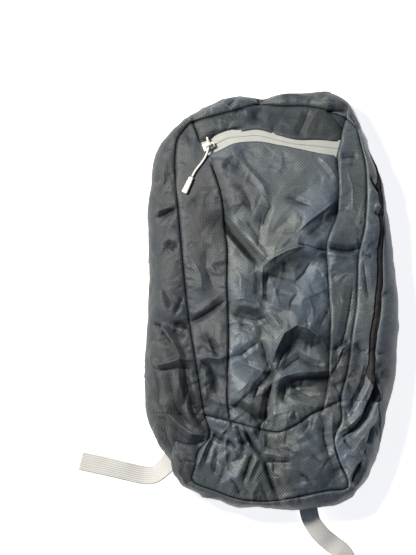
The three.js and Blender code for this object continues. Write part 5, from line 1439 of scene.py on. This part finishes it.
def tape_half(name, node, outer_edge):
    """Half of the zip's tape, from its join to where it goes in under the cloth."""
    out = outer_edge - zip_middle
    width = np.linalg.norm(out, axis=1)[:, None]
    tucked = outer_edge + out / width * TAPE_TUCK
    start = zip_middle + out / width * 0.06
    share = np.linspace(0, 1, 12)[:, None, None]
    plan = start[None] * (1 - share) + tucked[None] * share
    x, y = plan[..., 0], plan[..., 1]
    calm = crown_height(x, y) + broad_rise(x, y) * BROAD_SHARE
    calm += 0.35 * slack(x, y) * (1 - share[..., 0]) * share[..., 0]
    from_join = np.linalg.norm(plan - zip_middle[None], axis=2)
    dip = 0.3 * np.exp(-((from_join / 0.5) ** 2))
    ridge = 0.25 * np.exp(-(((from_join - 2.6) / 0.9) ** 2))
    shaped = -TAPE_SINK - dip + ridge
    outer = np.stack([x, y, calm + shaped], axis=2)
    places = np.stack([np.broadcast_to(travelled(zip_middle), x.shape), from_join], axis=2)
    cloth_sheet(name, outer, UPWARDS, woven_tape, node, places, TAPE_THICK)


tape_half("zip_tape_above", "pocket_zip_tape_upper", zip_upper)
tape_half("zip_tape_below", "pocket_zip_tape_lower", zip_lower)

# The coil under the tape, and the coil of the main zip, are the same nylon monofilament bent
# into rows of teeth. One tree sets a tooth at every pitch along a line.


def new_tree(name, numbers):
    """An empty geometry tree with a geometry socket, named numbers and a material."""
    tree = bpy.data.node_groups.new(name, "GeometryNodeTree")
    tree.interface.new_socket("Geometry", in_out="INPUT", socket_type="NodeSocketGeometry")
    for label in numbers:
        tree.interface.new_socket(label, in_out="INPUT", socket_type="NodeSocketFloat")
    tree.interface.new_socket("Material", in_out="INPUT", socket_type="NodeSocketMaterial")
    tree.interface.new_socket("Geometry", in_out="OUTPUT", socket_type="NodeSocketGeometry")
    return tree, tree.nodes.new("NodeGroupInput"), tree.nodes.new("NodeGroupOutput")


def small_bar(tree, given, length, thickness):
    """A short round bar along X with closed ends, of named length and thickness."""
    half = add_node(tree, "ShaderNodeMath", TIMES, _0=given.outputs[thickness], _1=0.5)
    bar = add_node(tree, "GeometryNodeMeshCylinder", Vertices=6, Radius=half, Depth=given.outputs[length])
    return add_node(
        tree, "GeometryNodeTransform", Geometry=bar.outputs["Mesh"], Rotation=(0.0, math.pi / 2, 0.0)
    )


def row_tree(name):
    """Bars at a named pitch along every line given, turned by a named angle to the line."""
    numbers = ["Pitch", "Length", "Thickness", "Turn"]
    tree, given, result = new_tree(name, numbers)
    line = add_node(tree, "GeometryNodeMeshToCurve", Mesh=given.outputs["Geometry"])
    points = add_node(
        tree,
        "GeometryNodeCurveToPoints",
        {"mode": "LENGTH"},
        Curve=line,
        Length=given.outputs["Pitch"],
    )
    bar = small_bar(tree, given, "Length", "Thickness")
    turn = add_node(tree, "ShaderNodeCombineXYZ", Z=given.outputs["Turn"])
    facing = add_node(
        tree, "FunctionNodeAlignEulerToVector", {"axis": "X"}, Vector=points.outputs["Tangent"]
    )
    turned = add_node(
        tree,
        "FunctionNodeRotateEuler",
        {"rotation_type": "EULER", "space": "LOCAL"},
        Rotation=facing,
        Rotate_By=turn,
    )
    placed = add_node(
        tree,
        "GeometryNodeInstanceOnPoints",
        Points=points.outputs["Points"],
        Instance=bar.outputs["Geometry"],
        Rotation=turned,
    )
    real = add_node(tree, "GeometryNodeRealizeInstances", Geometry=placed)
    coated = add_node(tree, "GeometryNodeSetMaterial", Geometry=real, Material=given.outputs["Material"])
    tree.links.new(coated.outputs[0], result.inputs[0])
    return tree


bar_row = row_tree("row of bars along a line")


def bars_along(name, lines, pitch, length, thickness, turn, material, node=None):
    """Small bars along lines of frame points, made a plain mesh that rides on the bag."""
    corners, edges = [], []
    for line in lines:
        start = len(corners)
        corners += [tuple(p) for p in line]
        edges += [(start + i, start + i + 1) for i in range(len(line) - 1)]
    mesh = bpy.data.meshes.new(name)
    mesh.from_pydata(corners, edges, [])
    piece = bpy.data.objects.new(name, mesh)
    bpy.context.scene.collection.objects.link(piece)
    rows = piece.modifiers.new("bars", "NODES")
    rows.node_group = bar_row
    values = {"Pitch": pitch, "Length": length, "Thickness": thickness, "Turn": turn, "Material": material}
    for socket in bar_row.interface.items_tree:
        if socket.item_type == "SOCKET" and socket.in_out == "INPUT" and socket.name in values:
            rows[socket.identifier] = values[socket.name]
    settled(piece)
    piece.data.shade_smooth()
    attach(piece, "root")
    if node:
        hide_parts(node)
    return piece


# Nylon monofilament: a smooth, slightly see-through looking coil, cream coloured and yellowed
coil_nylon, coil_shader = new_material("nylon monofilament", Roughness=0.35)
finish(coil_nylon, coil_shader, mottle(coil_nylon, 300.0, 2.0), "a8966c", "cfc3a0")

coil_x, coil_y = zip_middle[2:-2, 0], zip_middle[2:-2, 1]
coil_z = crown_height(coil_x, coil_y) + broad_rise(coil_x, coil_y) * BROAD_SHARE - TAPE_SINK - 1.6
coil_line = in_frame(np.stack([coil_x, coil_y, coil_z], axis=1))
bars_along(
    "zip_coil_teeth",
    [coil_line],
    COIL_PITCH * MM,
    COIL_WIDTH * MM,
    0.75 * MM,
    math.pi / 2,
    coil_nylon,
    "pocket_zip_coil",
)

# The main zip
# A black zip, coil side out, sunk in the gusset. Its tape is woven, and the coil runs down the
# middle. Its slider hangs at the left of the bag, under the rim.
zip_round = np.concatenate([left_places, top_places[1:] + STATION_COUNT, right_places[1:] + STATION_COUNT])

# Black woven polyester, browned by light and dust, with close ribs across the tape
black_tape, black_shader = new_material("black woven tape", Roughness=0.8, Sheen_Weight=0.15)
black_along, _ = pattern_ways(black_tape)
black_ribs = wave(black_tape, black_along, 0.0018)
black_fac = add_node(
    black_tape, "ShaderNodeMath", TIMES_PLUS, _0=black_ribs, _1=0.25, _2=mottle(black_tape, 110.0, 4.0)
)
finish(black_tape, black_shader, black_fac, "131214", "39332f", relief=black_ribs)


def zip_profile(share):
    """How deep the tape lies across its width: sunk, with a ridge over the coil."""
    from_middle = np.abs(2 * share - 1)
    return 1.5 - 0.5 * np.exp(-((from_middle / 0.42) ** 4)) + 0.4 * np.exp(-((from_middle / 0.05) ** 2))


gusset_sheet(
    "main_zip_tape",
    "main_zip",
    zip_round,
    zip_edge(-1),
    zip_edge(1),
    21,
    black_tape,
    zip_profile,
)
coil_row, coil_out, _, _ = gusset_grid(zip_round, at_station(5, zip_round), at_station(5, zip_round), 2)
coil_row = even(coil_row[:, 0] - coil_out[:, 0] * 0.95, 900)
bars_along(
    "main_zip_teeth",
    [in_frame(coil_row)],
    1.5 * MM,
    3.4 * MM,
    0.8 * MM,
    math.pi / 2,
    black_tape,
    None,
)

# The back panel
# The panel that lies on the straps, of the same cloth over a thin foam. It is flat where the bag
# rests on it, and a row of stitches holds it to the gusset all round.
BACK_RINGS = 46
BACK_MIDDLE = np.array([0.0, 2.0])
at = (np.append(whole_round[:-1:4], whole_round[-1]) / STATION_COUNT) % 1
_, back_line = round_rim(at)
share = np.linspace(1, 0.02, BACK_RINGS)[:, None, None]
plan = back_line[None] * share + BACK_MIDDLE * (1 - share)
inset = (1 - share[..., 0]) * 110
seam_ridge = 0.5 * np.exp(-((inset - 7) ** 2) / 2.5)
quilt = seam_ridge + 0.25 * np.sin(plan[..., 0] / 17) * np.cos(plan[..., 1] / 23)
level = BACK_LIFT + 0.35 + np.clip(quilt, 0, 0.8)
outer = np.concatenate([plan, level[..., None]], axis=2)
cloth_sheet("back_cloth", outer, -UPWARDS, slate_nylon, "back_panel", plan)

# The shoulder straps
# Two curved straps of spacer mesh with bound edges, folded flat under the bag. Each tapers at its
# foot to the loop that holds its buckle.
STRAP_HEIGHT = 5.0
STRAP_LINE = [
    (0.24, 0.86, 46), (0.3, 0.7, 46), (0.37, 0.5, 54), (0.42, 0.3, 54), (0.42, 0.1, 54),
    (0.39, -0.08, 54), (0.35, -0.22, 54), (0.32, -0.31, 25),
]
BINDING_WIDTH = 9.0

# Spacer mesh: a knitted face of round holes 3 mm apart over a springy filling. The holes show as
# dark dots, and the face is matt.
spacer_mesh, mesh_shader = new_material("knitted spacer mesh", Roughness=0.85, Sheen_Weight=0.2)
mesh_place = add_node(spacer_mesh, "ShaderNodeUVMap", {"uv_map": "pattern"})
mesh_holes = add_node(
    spacer_mesh,
    "ShaderNodeTexVoronoi",
    {"feature": "F1"},
    Vector=mesh_place.outputs["UV"],
    Scale=330.0,
    Randomness=0.0,
)
mesh_hole = add_node(
    spacer_mesh,
    "ShaderNodeMapRange",
    Value=mesh_holes.outputs["Distance"],
    From_Min=0.22,
    From_Max=0.38,
)
finish(spacer_mesh, mesh_shader, mesh_hole, "1c1e20", "54595b", mesh_hole, 0.8, 0.6)

# Grosgrain binding: a close ribbed tape folded over the edge, darker than the mesh
grosgrain, grosgrain_shader = new_material("grosgrain binding", Roughness=0.7, Sheen_Weight=0.1)
_, grosgrain_along = pattern_ways(grosgrain)
grosgrain_ribs = wave(grosgrain, grosgrain_along, 0.0012)
finish(grosgrain, grosgrain_shader, grosgrain_ribs, "232628", "343839", relief=grosgrain_ribs)


def strap_grid(side, across_shares, rows=170):
    """Places over a strap's width, in rows down its length, as plan points."""
    table = np.array([(side * x * BAG_WIDTH / 2, y * BAG_LENGTH / 2, w) for x, y, w in STRAP_LINE])
    knots = spline(table, np.linspace(0, 1, rows))
    onward = unit(np.gradient(knots[:, :2], axis=0))
    out = np.stack([-onward[:, 1], onward[:, 0]], axis=1)
    offset = across_shares[None, :] * knots[:, 2:] / 2
    return knots[:, None, :2] + out[:, None] * offset[..., None], travelled(knots[:, :2]), offset


def closed_pad(name, side, node, top, foot, edge):
    """A strap as one closed pad: a face above, one below, and rounded edges between them."""
    shares = np.linspace(-1, 1, 34)
    plan, gone, offset = strap_grid(side, shares)
    from_edge = (1 - np.abs(shares)) * 20
    bulge = np.sqrt(np.clip(1 - (1 - np.clip(from_edge / edge, 0, 1)) ** 2, 0, 1))
    ends = np.minimum(gone, gone[-1] - gone)
    round_ends = np.sqrt(np.clip(1 - (1 - np.clip(ends / edge, 0, 1)) ** 2, 0, 1))
    half = (top - foot) / 2 * (0.25 + 0.75 * bulge[None] * round_ends[:, None])
    middle = (top + foot) / 2
    pinch = 0.28 * np.exp(-(((from_edge - BINDING_WIDTH) / 0.9) ** 2))[None] * np.ones_like(half)
    half = half * (1 - pinch)
    upper = np.concatenate([plan, (middle + half)[..., None]], axis=2)
    lower = np.concatenate([plan, (middle - half)[..., None]], axis=2)
    rows, columns = half.shape
    corners = in_frame(np.concatenate([upper.reshape(-1, 3), lower.reshape(-1, 3)]))
    faces, cell = sheet_faces(rows, columns)
    places = np.stack([offset, np.broadcast_to(gone[:, None], offset.shape)], axis=2).reshape(-1, 2) * MM
    pad = add_piece(name, corners, faces, spacer_mesh, node, np.concatenate([places, places]))
    facing_out(pad)
    pad.data.materials.append(grosgrain)
    bound = np.abs(offset).max(axis=1)[:, None] - np.abs(offset) < BINDING_WIDTH
    edge_cells = bound.ravel()[cell] | bound.ravel()[cell + columns]
    rim_marks = np.ones(len(faces) - 2 * len(cell), bool)
    marks = np.concatenate([edge_cells, edge_cells, rim_marks]).astype(np.int32)
    pad.data.polygons.foreach_set("material_index", marks)


for side, hand in ((-1, "left"), (1, "right")):
    closed_pad(f"strap_pad_{hand}", side, f"shoulder_strap_{hand}", STRAP_HEIGHT, 0.0, 3.0)

# The webbing
# Flat off-white webbing, 20 mm wide and rather loosely woven, from a tab at the back seam to the
# buckle, round its bar and out as a loose tail. The loops that hold the buckles and the carrying
# loop at the top are the same webbing.
WEBBING_WIDTH = 20.0
WEBBING_HEIGHT = 1.3
BUCKLE_BAR = 4.0
BUCKLE_SLOT = 5.0
LOOP_REACH = 9.0
CLEARANCE = 0.3
TAB_PLACES = {-1: (-0.93, -0.555), 1: (0.84, -0.6)}
TAB_REACH, TAB_HALF_WIDTH, TAB_DEPTH = 12.0, 13.0, 22.0
# The tails beyond the buckles: x and y as shares, lift as a share of the width, and the heading of
# the webbing's right-hand edge and its roll in degrees.
TAILS = {
    -1: [
        (-0.56, -0.6, 0.12, 152, 0), (-0.72, -0.68, 0.12, 152, 6), (-0.81, -0.76, 0.12, 140, 8),
        (-0.88, -0.81, 0.24, 125, 24), (-0.95, -0.838, 0.2, 103, 20), (-1.04, -0.838, 0.07, 88, 4),
        (-1.18, -0.82, 0.1, 84, -4), (-1.34, -0.797, 0.06, 76, 2), (-1.545, -0.771, 0.05, 77, 0),
    ],
    1: [
        (0.27, -0.6, 0.1, 5, 0), (0.28, -0.78, 0.08, 8, 0), (0.29, -0.94, 0.08, 8, 0),
        (0.295, -1.01, 0.12, 10, 6), (0.325, -1.07, 0.28, 25, 26), (0.395, -1.127, 0.2, 48, 14),
        (0.485, -1.172, 0.07, 53, 2), (0.56, -1.207, 0.14, 46, -6), (0.612, -1.26, 0.1, 28, -2),
        (0.632, -1.3, 0.06, 22, 0),
    ],
}
LOW_RUN = WEBBING_HEIGHT / 2
HIGH_RUN = STRAP_HEIGHT - WEBBING_HEIGHT / 2
TAB_HEIGHT = STRAP_HEIGHT - 1.2

# Polypropylene webbing: ribs along it, 2.3 mm apart, crossed by an open weave, so that the webbing
# is darker between the ribs.
open_webbing, webbing_shader = new_material("open woven webbing", Roughness=0.78, Sheen_Weight=0.15)
webbing_across, webbing_along = pattern_ways(open_webbing)
webbing_rib = wave(open_webbing, webbing_across, 0.0023, COSINE)
webbing_dash = wave(open_webbing, webbing_along, 0.003, COSINE)
webbing_rib = add_node(open_webbing, "ShaderNodeMath", TIMES_PLUS, _0=webbing_rib, _1=0.5, _2=0.5)
webbing_dash = add_node(open_webbing, "ShaderNodeMath", TIMES_PLUS, _0=webbing_dash, _1=0.2, _2=0.8)
webbing_yarn = add_node(open_webbing, "ShaderNodeMath", TIMES, _0=webbing_rib, _1=webbing_dash)
webbing_clean = add_node(
    open_webbing,
    "ShaderNodeMix",
    {"data_type": "RGBA"},
    _0=mottle(open_webbing, 60.0, 4.0),
    _6=hex_colour("cbc9c4"),
    _7=hex_colour("dddbd8"),
)
webbing_hole = add_node(
    open_webbing,
    "ShaderNodeMapRange",
    Value=webbing_yarn,
    From_Min=0.05,
    From_Max=0.6,
    To_Min=0.76,
    To_Max=1.0,
)
webbing_tint = add_node(
    open_webbing,
    "ShaderNodeVectorMath",
    {"operation": "SCALE"},
    _0=webbing_clean.outputs[2],
    Scale=webbing_hole,
)
wire(open_webbing, webbing_tint.outputs["Vector"], webbing_shader.inputs["Base Color"])
raised(open_webbing, webbing_shader, webbing_yarn, 0.7, 0.5)


def strap_foot(side):
    """Where a strap's line ends, and the way on from there."""
    before, last = [np.array([side * x, y]) * PLAN_SCALE for x, y, _ in STRAP_LINE[-2:]]
    return last, (last - before) / np.linalg.norm(last - before)


def turn_about(centre, direction, side):
    """Half a turn of webbing about a buckle's bar, from the low run to the high one."""
    reach, radius = BUCKLE_BAR / 2 - CLEARANCE, (HIGH_RUN - LOW_RUN) / 2
    turned = []
    for i in range(7):
        angle = -math.pi / 2 + math.pi * i / 6
        x, y = centre + direction * (reach + radius * math.cos(angle))
        turned.append((x, y, LOW_RUN + radius * (1 + math.sin(angle)), side, 0))
    return turned


def ribbon(name, places, width, material, node, thickness=WEBBING_HEIGHT, pitch=1.3, edge=0.0):
    """Webbing through places, each x, y, z, the heading of its edge and its roll, in degrees."""
    places = np.array(places, float)
    rough = travelled(places[:, :3])
    parts = int(rough[-1] / pitch)
    wanted = np.linspace(0, rough[-1], parts + 1)
    middle = spline(places[:, :3], np.interp(wanted, rough, np.linspace(0, 1, len(places))))
    heading = np.radians(np.interp(wanted, rough, places[:, 3]))
    roll = np.radians(np.interp(wanted, rough, places[:, 4]))
    across = np.stack([np.cos(heading) * np.cos(roll), np.sin(heading) * np.cos(roll), np.sin(roll)], axis=1)
    onward = unit(np.gradient(middle, axis=0))
    inward = np.cross(onward, across)
    inward /= np.linalg.norm(inward, axis=1)[:, None]
    share = np.linspace(-1, 1, 16)
    gone = travelled(middle)
    selvedge = 1 + edge * np.sin(gone * 2.3)[:, None]
    outer = middle[:, None] + across[:, None] * (share * width / 2)[None, :, None] * selvedge[..., None]
    full = thickness / 2 * (1 - 0.35 * np.abs(share) ** 6)
    outer = outer - inward[:, None] * full[None, :, None]
    grid = outer.shape[:2]
    pattern = np.stack(
        [np.broadcast_to(share * width / 2, grid), np.broadcast_to(gone[:, None], grid)], axis=2
    )
    return cloth_sheet(name, outer, -inward[:, None], material, node, pattern, thickness)


def heading_of(direction):
    return math.degrees(math.atan2(direction[1], direction[0]))


def nearest(angle, wanted):
    """The same line's heading, turned round by half turns to lie nearest to the wanted one."""
    return angle + 180 * round((wanted - angle) / 180)


for side, hand in ((-1, "left"), (1, "right")):
    foot, onward = strap_foot(side)
    across = heading_of(onward) + 90
    buckle = foot + onward * (LOOP_REACH + BUCKLE_BAR + BUCKLE_SLOT + BUCKLE_BAR / 2)
    upper_bar = buckle - onward * (BUCKLE_BAR + BUCKLE_SLOT)
    lower_bar = buckle + onward * (BUCKLE_BAR + BUCKLE_SLOT)
    start = foot + onward * CLEARANCE
    loop = [
        (*start, LOW_RUN, across, 0),
        *turn_about(upper_bar, onward, across),
        (*start, HIGH_RUN, across, 0),
    ]
    ribbon(f"loop_{hand}", loop, WEBBING_WIDTH, open_webbing, f"buckle_loop_{hand}", 1.2)
    tab = np.array(TAB_PLACES[side]) * PLAN_SCALE
    approach = lower_bar + onward * BUCKLE_BAR * 2.5
    half = tab + (approach - tab) * 0.55
    tab_across = nearest(heading_of(approach - tab) - 90, across)
    run = [
        (*tab, TAB_HEIGHT - CLEARANCE - LOW_RUN, tab_across, 0),
        (*half, LOW_RUN, tab_across, 0),
        (*approach, LOW_RUN, across, 0),
        *turn_about(lower_bar, -onward, across),
        (*(approach - onward * BUCKLE_BAR), HIGH_RUN, across, 0),
    ]
    edge = across
    for x, y, lift, heading, roll in TAILS[side]:
        place = np.array([x, y]) * PLAN_SCALE
        edge = nearest(heading, edge)
        run.append((*place, LOW_RUN + lift * WEBBING_WIDTH, edge, roll))
    ribbon(f"webbing_run_{hand}", run, WEBBING_WIDTH, open_webbing, f"webbing_{hand}", edge=0.012)


HANDLE_LINE = [
    (-0.34, 0.9), (-0.26, 0.935), (-0.13, 0.955), (0, 0.96), (0.13, 0.955), (0.26, 0.935), (0.34, 0.9),
]
handle_middle = np.array(HANDLE_LINE) * PLAN_SCALE
handle_ways = np.gradient(handle_middle, axis=0)
handle = [(*p, HIGH_RUN, heading_of(way) + 90, 0) for p, way in zip(handle_middle, handle_ways)]
ribbon("handle_webbing", handle, 16.0, open_webbing, "carry_handle", edge=0.012)

# The tabs
# Two small tongues of the bag's cloth, sewn in at the back seam, that hold the webbing's lower
# ends. A box of stitches with a cross in it holds each one.
for side, hand in ((-1, "left"), (1, "right")):
    tab = np.array(TAB_PLACES[side]) * PLAN_SCALE
    u = np.linspace(-1, 1, 25)
    reach = TAB_REACH / 2 * (1 - u**2)
    share = np.linspace(0, 1, 30)[None, :]
    x = (-TAB_DEPTH + (TAB_DEPTH + reach[:, None]) * share) * side
    y = np.broadcast_to((u * TAB_HALF_WIDTH)[:, None], x.shape)
    z = TAB_HEIGHT + 1.1 + 0.12 * np.sin(x * 0.9) * np.sin(y * 0.7)
    outer = np.stack([x + tab[0], y + tab[1], z], axis=2)
    plan = outer[..., :2]
    cloth_sheet(f"tab_{hand}", outer, UPWARDS, slate_nylon, f"strap_tab_{hand}", plan, 1.1)

# The buckles and the main zip's slider
# The two ladder buckles and the slider keep their own plain shape, in moulded black plastic.
# Moulded acetal: smooth, slightly waxy black plastic with a fine spark-eroded grain
black_acetal, acetal_shader = new_material("moulded acetal", Roughness=0.38)
acetal_grain = mottle(black_acetal, 1400.0, 2.0)
finish(black_acetal, acetal_shader, acetal_grain, "222325", "303133", acetal_grain, 0.3, 0.1)
for node in ("ladder_buckle_left", "ladder_buckle_right", "main_zip_slider"):
    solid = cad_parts[node]
    solid = bpy.data.objects[solid] if isinstance(solid, str) else solid
    solid.data.materials.clear()
    solid.data.materials.append(black_acetal)

# The stitches
# White-grey polyester thread, a lockstitch every 3 mm, along the webbing's ends, the tabs and
# the seam round the back.
STITCH_PITCH = 3.0
STITCH_LENGTH = 2.2
THREAD = 0.45
STITCHED_AT = 0.965

# Bonded polyester thread: smooth, slightly shiny, twisted to the left
thread_grey, thread_shader = new_material("bonded polyester thread", Roughness=0.45)
thread_twist = add_node(
    thread_grey,
    "ShaderNodeTexWave",
    Vector=add_node(thread_grey, "ShaderNodeTexCoord").outputs["Object"],
    Scale=500.0,
    Distortion=1.0,
)
finish(thread_grey, thread_shader, thread_twist.outputs["Fac"], "4a5054", "6b7276")

stitch_lines = []
for side in (-1, 1):
    tab = np.array(TAB_PLACES[side]) * PLAN_SCALE
    top = TAB_HEIGHT + 1.2 + THREAD / 4
    box = [(-19, -9), (-19, 9), (-3, 9), (-3, -9), (-19, -9), (-3, 9)]
    stitch_lines.append([(side * x + tab[0], y + tab[1], top) for x, y in box])
back_seam_line = back_line * STITCHED_AT + BACK_MIDDLE * (1 - STITCHED_AT)
stitch_lines.append([(x, y, BACK_LIFT + 0.1) for x, y in back_seam_line])
bars_along(
    "lockstitches",
    [in_frame(line) for line in stitch_lines],
    STITCH_PITCH * MM,
    STITCH_LENGTH * MM,
    THREAD * MM,
    0.0,
    thread_grey,
    None,
)

# The box round all the pieces that are drawn.
low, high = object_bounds()
